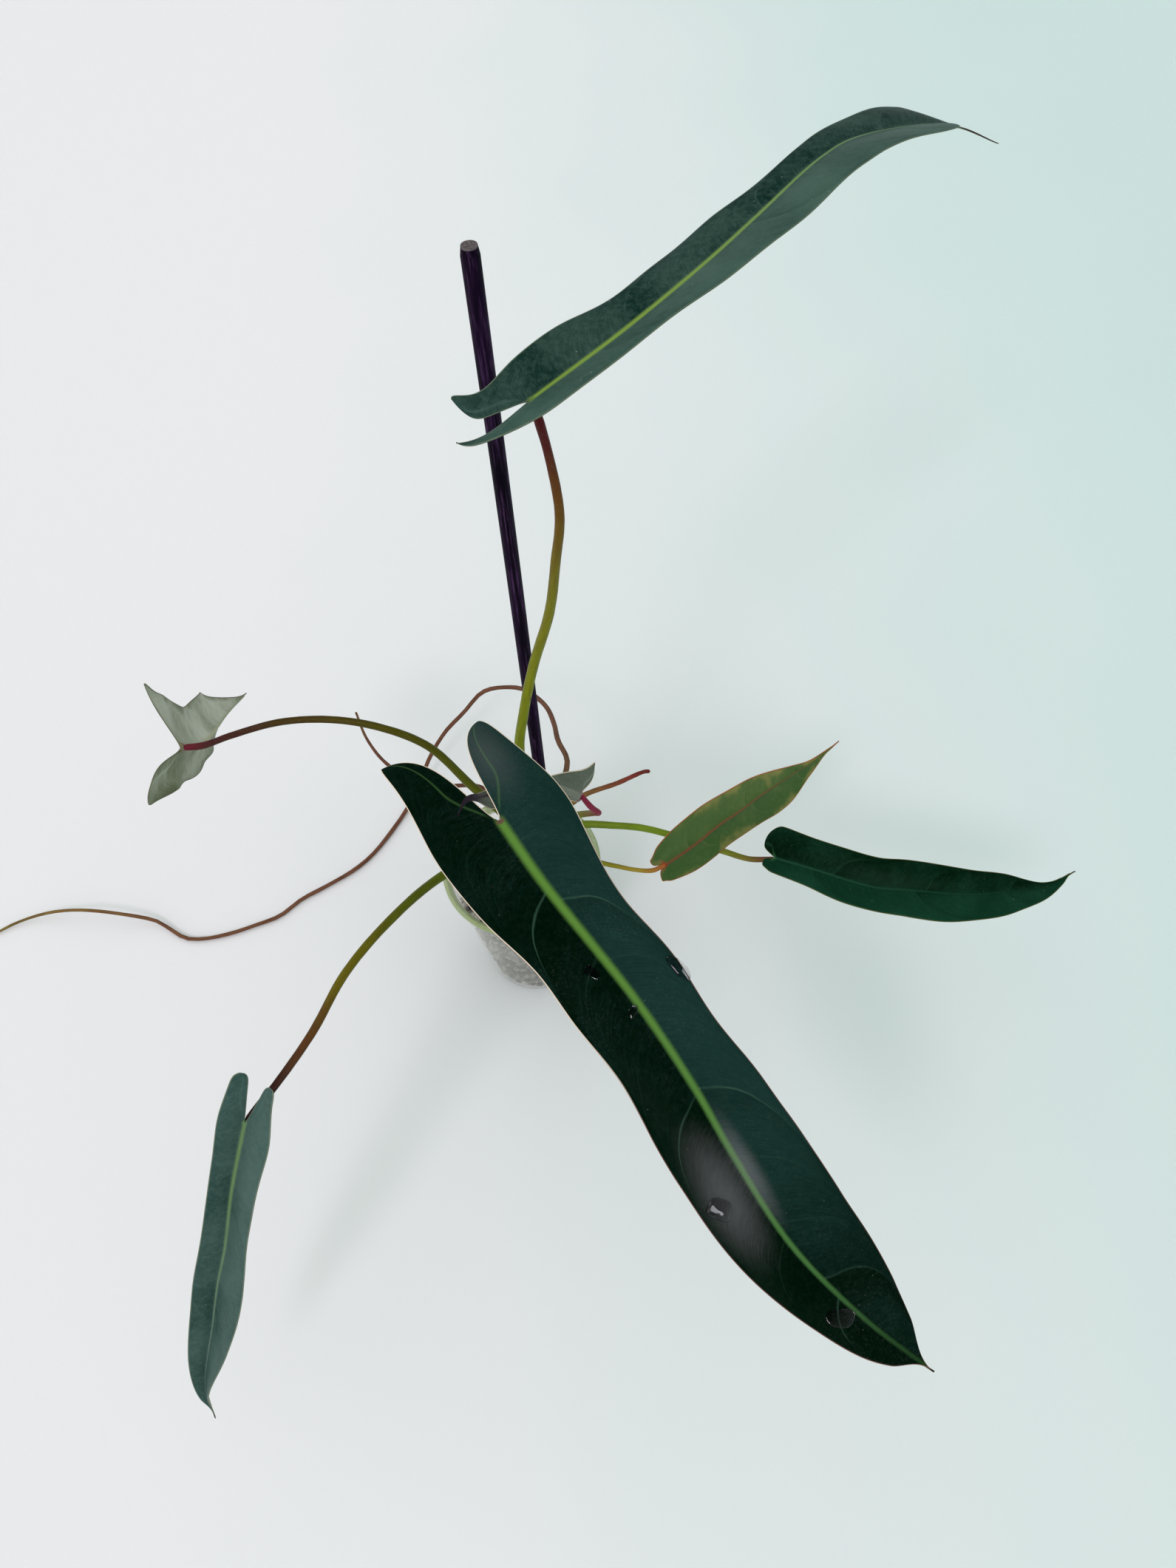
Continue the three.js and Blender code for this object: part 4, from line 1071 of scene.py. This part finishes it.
def makeBladeMaterial(name, leaf, length, look):
    look = {**usualBlade, **look}
    material, tree, shader = newMaterial(name, Specular_IOR_Level=look["shine"])
    place = objectPlace(tree)
    lines = useGroup(tree, bladePattern, length=length, pitch=leaf["pitch"], offset=leaf["offset"],
                     ribWidth=look["ribWidth"], ribTip=look["ribTipWidth"], veinWidth=look["veinWidth"],
                     marginWidth=look["marginWidth"])
    wear = useGroup(tree, weathering, place=place, fleckScale=bladeSkin["fleckScale"],
                    fleckSize=bladeSkin["fleckSize"])
    # Painted sheen: one half of each face is mixed towards the paler colour, as light glances off that half;
    # the sign of half picks which one.
    half = lines["side"] if look["half"] > 0 else minus(tree, 1, lines["side"])
    blend = times(tree, half, bladeSkin["sheenHalfShare"] * abs(look["half"]))
    blotches = times(tree, wear["blotch"], look["blotches"])
    blend = plus(tree, blend, blotches, clamp=True)
    share = surfaceField(tree, "along")
    silk = times(tree, lines["silk"], look["silk"])
    # Painted shade beside the veins: darker just past every strong vein on its tip side, fading within about
    # one vein's spacing, and not at the very base.
    veinShade = ease(tree, lines["veinShade"], 0, bladeSkin["veinShadeWide"], -look["veinShade"], 0)
    veinShade = times(tree, veinShade, ease(tree, share, 0, bladeSkin["veinShadeFrom"]))
    blend = plus(tree, blend, plus(tree, silk, veinShade), clamp=True)
    # Painted sheen fading: the blend falls towards the deep colour between two shares along the blade.
    if "sheenFade" in look:
        start, end, change = look["sheenFade"]
        blend = plus(tree, blend, ease(tree, share, start, end, 0, change), clamp=True)
    colour = mixColour(tree, blend, look["deep"], look["pale"])
    mottle = times(tree, wear["mottle"], look["mottle"])
    colour = mixColour(tree, mottle, colour, look["vein"])
    if "patch" in look:
        spread = noise(tree, place, bladeSkin["patchScale"], 4)
        rim = ease(tree, surfaceField(tree, "edge"), *bladeSkin["rimBand"], bladeSkin["rimLift"], 0)
        patch = ease(tree, plus(tree, spread, rim), *bladeSkin["patchBand"], 0, bladeSkin["patchShare"])
        colour = mixColour(tree, patch, colour, look["patch"])
    vein = times(tree, lines["vein"], look["veins"])
    colour = mixColour(tree, vein, colour, look["vein"])
    basal = times(tree, lines["basal"], look["basal"])
    colour = mixColour(tree, basal, colour, look.get("basalColour", look["vein"]))
    ribColour = mixColour(tree, ease(tree, share, *bladeSkin["ribTurn"]), look["rib"], look["ribTip"])
    ribShow = ease(tree, share, *bladeSkin["ribFade"], 1, bladeSkin["ribLeft"])
    ribShow = times(tree, lines["rib"], ribShow)
    colour = mixColour(tree, ribShow, colour, ribColour)
    colour = mixColour(tree, lines["margin"], colour, marginColour(tree, look))
    if "tip" in look:
        colour = mixColour(tree, ease(tree, share, *look["tipFrom"]), colour, look["tip"])
    # Painted sheen: soft grey patches where light glances off the leaf, each given by its share along, its
    # side, its length and width in mm and its strength.
    for centre, side, size, wide, strength in look["paintedSheen"]:
        near = times(tree, minus(tree, share, centre), length / size)
        aside = calc(tree, "DIVIDE", minus(tree, surfaceField(tree, "side"), side), wide)
        far = plus(tree, calc(tree, "POWER", near, 2), calc(tree, "POWER", aside, 2))
        far = plus(tree, calc(tree, "SQRT", far), times(tree, lines["silk"], bladeSkin["paintedSheenRagged"]))
        sheenShare = ease(tree, far, 0, bladeSkin["paintedSheenReach"], strength, 0)
        colour = mixColour(tree, sheenShare, colour, bladeSkin["paintedSheen"])
    heartGap = plus(tree, absolute(tree, surfaceField(tree, "basal")),
                    absolute(tree, times(tree, share, length)))
    heart = ease(tree, heartGap, *bladeSkin["heartBand"], bladeSkin["heartShare"], 0)
    colour = mixColour(tree, heart, colour, look["heart"])
    flecks = times(tree, wear["fleck"], look["flecks"])
    colour = mixColour(tree, flecks, colour, bladeSkin["flecks"])
    smudge = times(tree, times(tree, wear["dust"], wear["blotch"]), bladeSkin["smudgeShare"])
    colour = mixColour(tree, smudge, colour, bladeSkin["smudge"])
    feed(tree, shader.inputs["Base Color"], colour)
    rough = plus(tree, look["gloss"], times(tree, wear["blotch"], bladeSkin["blotchGloss"]))
    rough = plus(tree, rough, times(tree, wear["dust"], bladeSkin["dustGloss"]))
    feed(tree, shader.inputs["Roughness"], rough)
    height = plus(tree, lines["height"], times(tree, wear["grain"], bladeSkin["grainShare"]))
    feed(tree, shader.inputs["Normal"], bumpNormal(tree, height, bladeSkin["depth"]))
    return material


def makeEdgeMaterial(name, look):
    material, tree, shader = newMaterial(name, Roughness=0.6, Specular_IOR_Level=0.1)
    colour = marginColour(tree, look)
    if "tip" in look:
        share = surfaceField(tree, "along")
        colour = mixColour(tree, ease(tree, share, *look["tipFrom"]), colour, look["tip"])
    tone = noise(tree, objectPlace(tree), bladeSkin["edgeScale"], 3)
    shade = mixColour(tree, ease(tree, tone, 0.35, 0.65), bladeSkin["edgeDark"], (1, 1, 1, 1))
    feed(tree, shader.inputs["Base Color"], mixColour(tree, 1, colour, shade, "MULTIPLY"))
    return material


# A place on a leaf: its share of the midrib, a point on it, and the ways ahead, right and up.
def leafFrame(leaf, route, distance):
    share = min(max(distance / route["length"], 0), 1)
    centre, ahead = routeAt(route, distance)
    up = Vector(leaf["faces"])
    up = (up - ahead * up.dot(ahead)).normalized()
    return share, centre + ahead * min(distance, 0), ahead.cross(up), up


# The inner and outer edge of a half blade at a row, in mm from the midrib line.
def halfEdges(side, distance, length):
    first, second = side["widths"][:2]
    slopeBack = (first - side["spread"] - side["outer"] * blade["outerRoundness"]) / side["length"]
    slopeAhead = (second - first) * 10 / length
    reach = min(blade["cornerShare"] * side["length"], blade["cornerMost"])
    corner = (slopeBack - slopeAhead) / 2 * (math.hypot(distance, reach) - abs(distance))
    if distance >= 0:
        share = distance / length
        start, wide = side.get("drip", (1, 0))
        tail = wide * math.sqrt(max(1 - share, 0) / max(1 - start, 0.01))
        wide = along(side["widths"], share) - corner
        start, end = start - blade["dripBefore"], start + blade["dripAfter"]
        return 0, lerp(wide, tail, smoothstep(start, end, share))
    back = min(-distance / side["length"], 1)
    innerBulge = blade["innerRoundness"] * back ** 1.5 * math.sqrt(1 - back)
    outerBulge = blade["outerRoundness"] * back * math.sqrt(1 - back)
    rounding = math.sqrt(2 * side.get("tip", blade["lobeTip"]) * side["length"] * (1 - back)) * back ** 6
    inner = side["spread"] * back + side["inner"] * innerBulge - rounding
    outer = side["spread"] * back + first * (1 - back) + side["outer"] * outerBulge + rounding
    outer -= corner * (1 - back)
    return inner, outer


def sidePoint(leaf, route, side, hand, distance, column):
    share, centre, right, up = leafFrame(leaf, route, distance)
    inner, outer = halfEdges(side, distance, route["length"])
    lift = math.radians(along(side["lifts"], share))
    width = outer - inner
    widest = max(side["widths"])
    reach = inner + width * column
    bend = math.hypot(reach, blade["crease"])
    spread = right * (hand * reach * math.cos(lift)) + up * (math.sin(lift) * (bend - blade["crease"]))
    normal = up * math.cos(lift) - right * (hand * math.sin(lift) * reach / bend)
    normal.normalize()
    crown = leaf["arch"] * width / widest * math.sin(math.pi * column)
    phase = 2 * math.pi * distance / blade["wavePitch"] + hand
    ripple = leaf["wave"] * width / widest * column ** 2 * math.sin(phase)
    start = distance - veins["sweep"] * column ** 3 / (veins["sweepEnd"] - column)
    start -= reach * veins["lean"] * smoothstep(0, veins["leanFull"], distance)
    if hand < 0:
        turns = start / leaf["pitch"] + leaf["offset"]
    else:
        turns = start / (veins["rightPitch"] * leaf["pitch"])
    quilt = math.cos(2 * math.pi * (turns + veins["first"]))
    relief = -blade["quilt"] * quilt * math.sin(math.pi * min(column, 1)) * smoothstep(-4, 6, distance)
    rib = math.exp(-(reach / lerp(*blade["ribWide"], share)) ** 2) * smoothstep(-6, 0, distance)
    relief += blade["ribRelief"] * (1 - share) * rib
    relief -= blade["edgeRoll"] * smoothstep(blade["rollFrom"], 1, column)
    point = centre + spread + normal * (crown + ripple + relief + blade["solidHalf"])
    return point, normal, share, inner, outer, reach


def halfBlade(name, leaf, route, side, hand):
    length = route["length"]
    rows = [-side["length"] * math.sin(math.pi / 2 * i / blade["lobeRows"])
            for i in range(blade["lobeRows"], 0, -1)]
    count = round(length / blade["rowStep"])
    rows += [length * i / count for i in range(count + 1)]
    columns = blade["columns"]
    bpy.ops.object.select_all(action="DESELECT")
    bpy.ops.mesh.primitive_grid_add(x_subdivisions=len(columns) - 1, y_subdivisions=len(rows) - 1, size=1)
    piece = newPiece(name)
    places, shares, sides, edges, basals, weights = [], [], [], [], [], []
    thickest = blade["body"] + blade["ridge"]
    for distance in rows:
        for column in columns:
            point, normal, share, inner, outer, reach = sidePoint(leaf, route, side, hand, distance, column)
            places.extend(point * mm)
            shares.append(distance / length)
            sides.append(hand * reach)
            edge = (1 - column) * (outer - inner)
            if distance < 0:
                edge = min(edge, column * (outer - inner))
                back = min(-distance / side["length"], 1)
                line = inner + (outer - inner) * blade["basalLine"] * smoothstep(0, 0.5, back)
                basals.append((reach - line) * blade["basalSpread"])
            else:
                basals.append(math.hypot(reach, distance))
            edges.append(edge)
            ridge = math.exp(-(reach / lerp(*blade["ridgeWide"], share)) ** 2) * smoothstep(-7, 0, distance)
            ridge *= blade["ridge"] * (1 - share) ** 0.8
            thin = lerp(blade["margin"], blade["body"], smoothstep(0, blade["marginWide"], edge))
            weights.append((thin + ridge) / thickest)
    piece.data.vertices.foreach_set("co", places)
    for label, values in (("along", shares), ("side", sides), ("edge", edges), ("basal", basals)):
        noteValues(piece, label, "FLOAT", values)
    group = piece.vertex_groups.new(name="thickness")
    for index, weight in enumerate(weights):
        group.add([index], weight, "REPLACE")
    if hand < 0:
        bpy.ops.object.mode_set(mode="EDIT")
        bpy.ops.mesh.select_all(action="SELECT")
        bpy.ops.mesh.flip_normals()
        bpy.ops.object.mode_set(mode="OBJECT")
    return piece


def makeLeaf(name, leaf):
    route = smoothRoute(leaf["midrib"])
    halves = [halfBlade(f"{name}Right", leaf, route, leaf["right"], 1),
              halfBlade(f"{name}Left", leaf, route, leaf["left"], -1)]
    piece = joined(f"leaf_{name}_blade", halves)
    bpy.ops.object.mode_set(mode="EDIT")
    bpy.ops.mesh.select_all(action="SELECT")
    bpy.ops.mesh.remove_doubles(threshold=blade["weld"] * mm)
    bpy.ops.object.mode_set(mode="OBJECT")
    body = piece.modifiers.new("body", "SOLIDIFY")
    body.thickness = (blade["body"] + blade["ridge"]) * mm
    body.offset = -1
    body.vertex_group = "thickness"
    body.material_offset = 1
    body.material_offset_rim = 2
    upper = leaf["upper"]
    under = underLooks.get(name, underLooks["usual"])
    length = route["length"]
    slot = {"old": "blade_old", "young": "blade_young"}.get(name, "blade")
    settle(piece, [f"leaf_{name}"], slot, makeBladeMaterial(f"{name}Upper", leaf, length, upper),
           makeBladeMaterial(f"{name}Under", leaf, length, under), makeEdgeMaterial(f"{name}Edge", upper))
    bpy.ops.object.modifier_apply(modifier="body")
    bpy.ops.object.shade_smooth()
    print(f"leaf {name}: {length:.0f} mm, {len(piece.data.polygons)} faces")


# A petiole's sheath at the stem and its knee below the blade, in shares of its radius and in mm
grip = {
    "sheath": 0.3, "sheathBand": (4, 26), "knee": 0.12, "kneeFromEnd": 9, "kneeLength": 5, "flat": 0.05,
    "lumps": 0.025, "lumpPitch": 23, "underBlade": 1.2,
}


def makePetiole(name, leaf):
    petiole = leaf["petiole"]
    route = smoothRoute(leaf["midrib"])
    _, centre, _, up = leafFrame(leaf, route, 0)
    points = [*shootStart(petiole), *petiole["route"], centre - up * grip["underBlade"]]
    total = smoothRoute(points)["length"]
    lumps = lumpy(len(name) + int(total), grip["lumps"], grip["lumpPitch"])

    def shape(distance, length, angle):
        sheath = 1 + grip["sheath"] * (1 - smoothstep(*grip["sheathBand"], distance))
        toKnee = (length - distance - grip["kneeFromEnd"]) / grip["kneeLength"]
        knee = 1 + grip["knee"] * math.exp(-toKnee ** 2)
        flat = 1 + grip["flat"] * math.cos(2 * angle)
        return sheath * knee * flat * lumps(distance, length, angle)
    piece = tubePiece(f"petiole_{name}_stalk", points, petiole["radii"], sides=16, shape=shape)
    slot = "petiole_young" if name == "young" else "petiole"
    look = {"colours": petiole["colours"]}
    settle(piece, [f"petiole_{name}"], slot, makeStalkMaterial(f"{name}Stalk", look))


# Water drops that lie on the largest leaf: where, how large, how high and how square each one is
drops = {
    "leaf": "front", "seed": 3, "wander": (0.08, 0.06), "under": 0.18, "pressed": 0.05,
    "spots": [
        {"at": (0.6073, 17.5), "size": (5.2, 4.4), "turn": 35, "height": 1.7, "square": 3.6},
        {"at": (0.318, -23), "size": (6.4, 3.1), "turn": 12, "height": 1.3, "square": 2.2},
        {"at": (0.328, 4.6), "size": (3.6, 1.9), "turn": -60, "height": 1.0, "square": 2},
        {"at": (0.83, 7), "size": (7.4, 3.8), "turn": 31, "height": 0.7, "square": 2.6},
        {"at": (0.2511, 8.4), "size": (3.9, 2.6), "turn": 20, "height": 0.4, "square": 2.2},
    ],
}


def makeDrops():
    leaf = leaves[drops["leaf"]]
    route = smoothRoute(leaf["midrib"])
    made = []
    random.seed(drops["seed"])
    for index, drop in enumerate(drops["spots"]):
        share, side = drop["at"]
        hand = 1 if side > 0 else -1
        half = leaf["right"] if hand > 0 else leaf["left"]
        distance = share * route["length"]
        column = abs(side) / halfEdges(half, distance, route["length"])[1]
        point, normal = sidePoint(leaf, route, half, hand, distance, column)[:2]
        ahead = routeAt(route, distance)[1]
        ahead = (ahead - normal * ahead.dot(normal)).normalized()
        across = normal.cross(ahead)
        bpy.ops.object.select_all(action="DESELECT")
        bpy.ops.mesh.primitive_uv_sphere_add(segments=40, ring_count=24, radius=1)
        piece = newPiece(f"drop{index}")
        starts = [random.uniform(0, fullTurn) for _ in range(2)]
        turn = math.radians(drop["turn"])
        for vertex in piece.data.vertices:
            x, y, z = vertex.co
            angle = math.atan2(y, x)
            power = drop["square"]
            corner = (abs(math.cos(angle)) ** power + abs(math.sin(angle)) ** power) ** (-1 / power)
            waves = math.sin(2 * angle + starts[0]), math.sin(3 * angle + starts[1])
            corner *= 1 + drops["wander"][0] * waves[0] + drops["wander"][1] * waves[1]
            u, v = x * corner * drop["size"][0], y * corner * drop["size"][1]
            u, v = u * math.cos(turn) - v * math.sin(turn), u * math.sin(turn) + v * math.cos(turn)
            rise = drop["height"] * max(z, 0) ** 0.8 + drops["under"] * min(z, 0) - drops["pressed"]
            vertex.co = (point + ahead * u + across * v + normal * rise) * mm
        made.append(piece)
    piece = joined("drops", made)
    bpy.ops.object.shade_smooth()
    material, tree, shader = newMaterial("water", Transmission_Weight=1, IOR=1.33, Roughness=0.02)
    ripple = noise(tree, objectPlace(tree), 160, 1)
    feed(tree, shader.inputs["Normal"], bumpNormal(tree, ripple, 0.0003, 0.15))
    settle(piece, [], None, material)
    print("drops:", len(made))


# Aerial roots

roots = {
    "long": {
        "height": 134, "compass": 62,
        "route": [(24, 30, 137), (33, 56, 131), (35, 71, 126), (30, 92, 118), (28, 114, 108), (24, 135, 98),
                  (17, 153, 88), (6, 172, 76), (-8, 184, 65), (-22, 191, 55), (-30, 192, 48), (-42, 184, 40),
                  (-58, 174, 31), (-72, 160, 20), (-83, 142, 9), (-94, 124, 3), (-119, 89, 2), (-134, 76, 2),
                  (-156, 64, 2), (-172, 56, 2), (-188, 44, 2), (-204, 39, 2), (-223, 34, 2), (-243, 32, 2),
                  (-256, 34, 2), (-269, 43, 3), (-278, 49, 5), (-304, 55, 11), (-334, 61, 12), (-361, 64, 7),
                  (-384, 61, 3), (-400, 54, 2), (-416, 47, 2)],
        "radii": [2, 1.8, 1.7, 1.6, 1.55, 1.5, 1.4, 1.35, 1.2, 0.8],
        "colours": [(0, paint(104, 82, 56)), (0.2, paint(114, 76, 58)), (0.55, paint(116, 78, 60)),
                    (0.8, paint(116, 82, 58)), (0.88, paint(126, 98, 54)), (1, paint(128, 118, 56))],
    },
    "short": {
        "height": 143, "compass": 125,
        "route": [(-6, 26, 147), (-21, 46, 141), (-47, 61, 125), (-68, 77, 114), (-88, 96, 106),
                  (-104, 124, 101), (-111, 145, 104)],
        "radii": [1.6, 1.4, 1.3, 1.2, 0.8],
        "colours": [(0, paint(96, 66, 46)), (0.6, paint(96, 56, 46)), (1, paint(120, 84, 60))],
    },
    "young": {
        "height": 168, "compass": 20,
        "route": [(43, 5, 182), (64, 3, 195), (80, 3, 204), (83, 3, 203.5)],
        "radii": [2.3, 1.9, 1.5, 1.4, 1.1],
        "colours": [(0.3, paint(140, 116, 66)), (0.6, paint(140, 92, 58)), (0.85, paint(134, 58, 50)),
                    (1, paint(104, 40, 40))],
    },
}


def makeRoot(name, root):
    points = [*shootStart(root), *root["route"]]
    piece = tubePiece(f"root_{name}_skin", points, root["radii"], sides=12, step=1.2,
                      shape=lumpy(len(name) * 7, 0.07, 9))
    look = {"colours": root["colours"], "streak": 0.45, "streakColour": paint(54, 32, 26), "spots": 0.4,
            "spotScale": 200, "gloss": 0.55, "relief": 0.0007}
    settle(piece, [f"root_{name}"], "root", makeStalkMaterial(f"{name}Root", look))


makePot()
makeMix()
makeStake()
makeStem()
for leafName, leafShape in leaves.items():
    makeLeaf(leafName, leafShape)
    makePetiole(leafName, leafShape)
for rootName, rootShape in roots.items():
    makeRoot(rootName, rootShape)
makeDrops()
print("plant made")


# Floor, light and camera

stage = {
    # The pale floor, and the darker mint painted towards +X as painted shade.
    "floor": paint(233, 236, 238), "paintedMintShade": paint(203, 226, 223),
    "floorSize": 14, "floorHeight": -0.0004,
    "paintedMintBand": (-0.18, 0.88), "driftScale": 3, "driftShare": 0.3,
    "key": {"towards": (0.42, 0.78, -1), "power": 0.62, "angle": 13, "colour": (1, 0.74, 0.9)},
    "glow": {"from": Vector((-0.2, -0.26, 0.94)), "band": (-0.2, 1), "bright": (1.04, 1.06, 1.03, 1),
             "dim": (0.38, 0.41, 0.39, 1)},
    "mirrored": {"low": (0.42, 0.46, 0.45, 1), "high": (0.035, 0.04, 0.04, 1), "from": 0.05, "to": 0.6},
    "window": {"towards": Vector((0.5, -0.55, 0.65)), "across": (0.74, 0.67, 0), "half": 0.12,
               "rise": 0.24, "soft": 0.02, "bright": (11, 11, 12, 1)},
    "backdrop": (0.78, 0.82, 0.81, 1),
    "camera": {"place": (0.047, -0.368, 0.7642), "down": 56.8, "roll": -6, "lens": 36 * 1594 / 2121},
}

bpy.ops.object.select_all(action="DESELECT")
bpy.ops.mesh.primitive_plane_add(size=stage["floorSize"], location=(0, 0, stage["floorHeight"]))
floor = newPiece("floor")
material, tree, shader = newMaterial("paleFloor", Roughness=0.8, Specular_IOR_Level=0.2)
place = objectPlace(tree)
# Painted shade: the floor turns darker and mint green towards +X, for the green-tinted light falling off
# there; a soft noise wobbles the band.
shadeMix = times(tree, noise(tree, place, stage["driftScale"], 2), stage["driftShare"])
shadeMix = ease(tree, plus(tree, partOf(tree, place, "X"), shadeMix), *stage["paintedMintBand"])
feed(tree, shader.inputs["Base Color"], mixColour(tree, shadeMix, stage["floor"], stage["paintedMintShade"]))
floor.data.materials.append(material)

light = stage["key"]
bpy.ops.object.light_add(type="SUN", location=-1.5 * Vector(light["towards"]))
lamp = bpy.context.object
lamp.name = "keySun"
lamp.data.energy = light["power"]
lamp.data.angle = math.radians(light["angle"])
lamp.data.color = light["colour"]
lamp.rotation_euler = Vector(light["towards"]).to_track_quat("-Z", "Y").to_euler()

world = bpy.context.scene.world or bpy.data.worlds.new("studio")
bpy.context.scene.world = world
world.use_nodes = True
sky = world.node_tree
direction = sky.nodes.new("ShaderNodeTexCoord").outputs["Generated"]
height = partOf(sky, direction, "Z")
glow = stage["glow"]
facing = reachAlong(sky, direction, glow["from"].normalized())
glow = mixColour(sky, ease(sky, facing, *glow["band"]), glow["dim"], glow["bright"])
mirrored = stage["mirrored"]
dark = mixColour(sky, ease(sky, height, mirrored["from"], mirrored["to"]), mirrored["low"], mirrored["high"])
window = stage["window"]
across = absolute(sky, reachAlong(sky, direction, window["across"]))
rise = absolute(sky, minus(sky, height, window["towards"].normalized().z))
pane = times(sky, ease(sky, across, window["half"], window["half"] + window["soft"], 1, 0),
             ease(sky, rise, window["rise"], window["rise"] + window["soft"], 1, 0))
pane = times(sky, pane, calc(sky, "GREATER_THAN", reachAlong(sky, direction, window["towards"]), 0))
dark = mixColour(sky, pane, dark, window["bright"])
ray = sky.nodes.new("ShaderNodeLightPath").outputs
colour = mixColour(sky, ray["Is Glossy Ray"], glow, dark)
colour = mixColour(sky, ray["Is Camera Ray"], colour, stage["backdrop"])
feed(sky, sky.nodes["Background"].inputs["Color"], colour)
sky.nodes["Background"].inputs["Strength"].default_value = 1
bpy.context.scene.view_settings.view_transform = "Standard"

view = stage["camera"]
bpy.ops.object.camera_add(location=view["place"])
camera = bpy.context.object
turn = Matrix.Rotation(math.radians(90 - view["down"]), 4, "X")
turn = turn @ Matrix.Rotation(math.radians(view["roll"]), 4, "Z")
camera.rotation_euler = turn.to_euler()
camera.data.sensor_fit = "AUTO"
camera.data.sensor_width = 36
camera.data.lens = view["lens"]
camera.data.clip_start = 0.01
bpy.context.scene.camera = camera
print("stage, light and camera set")
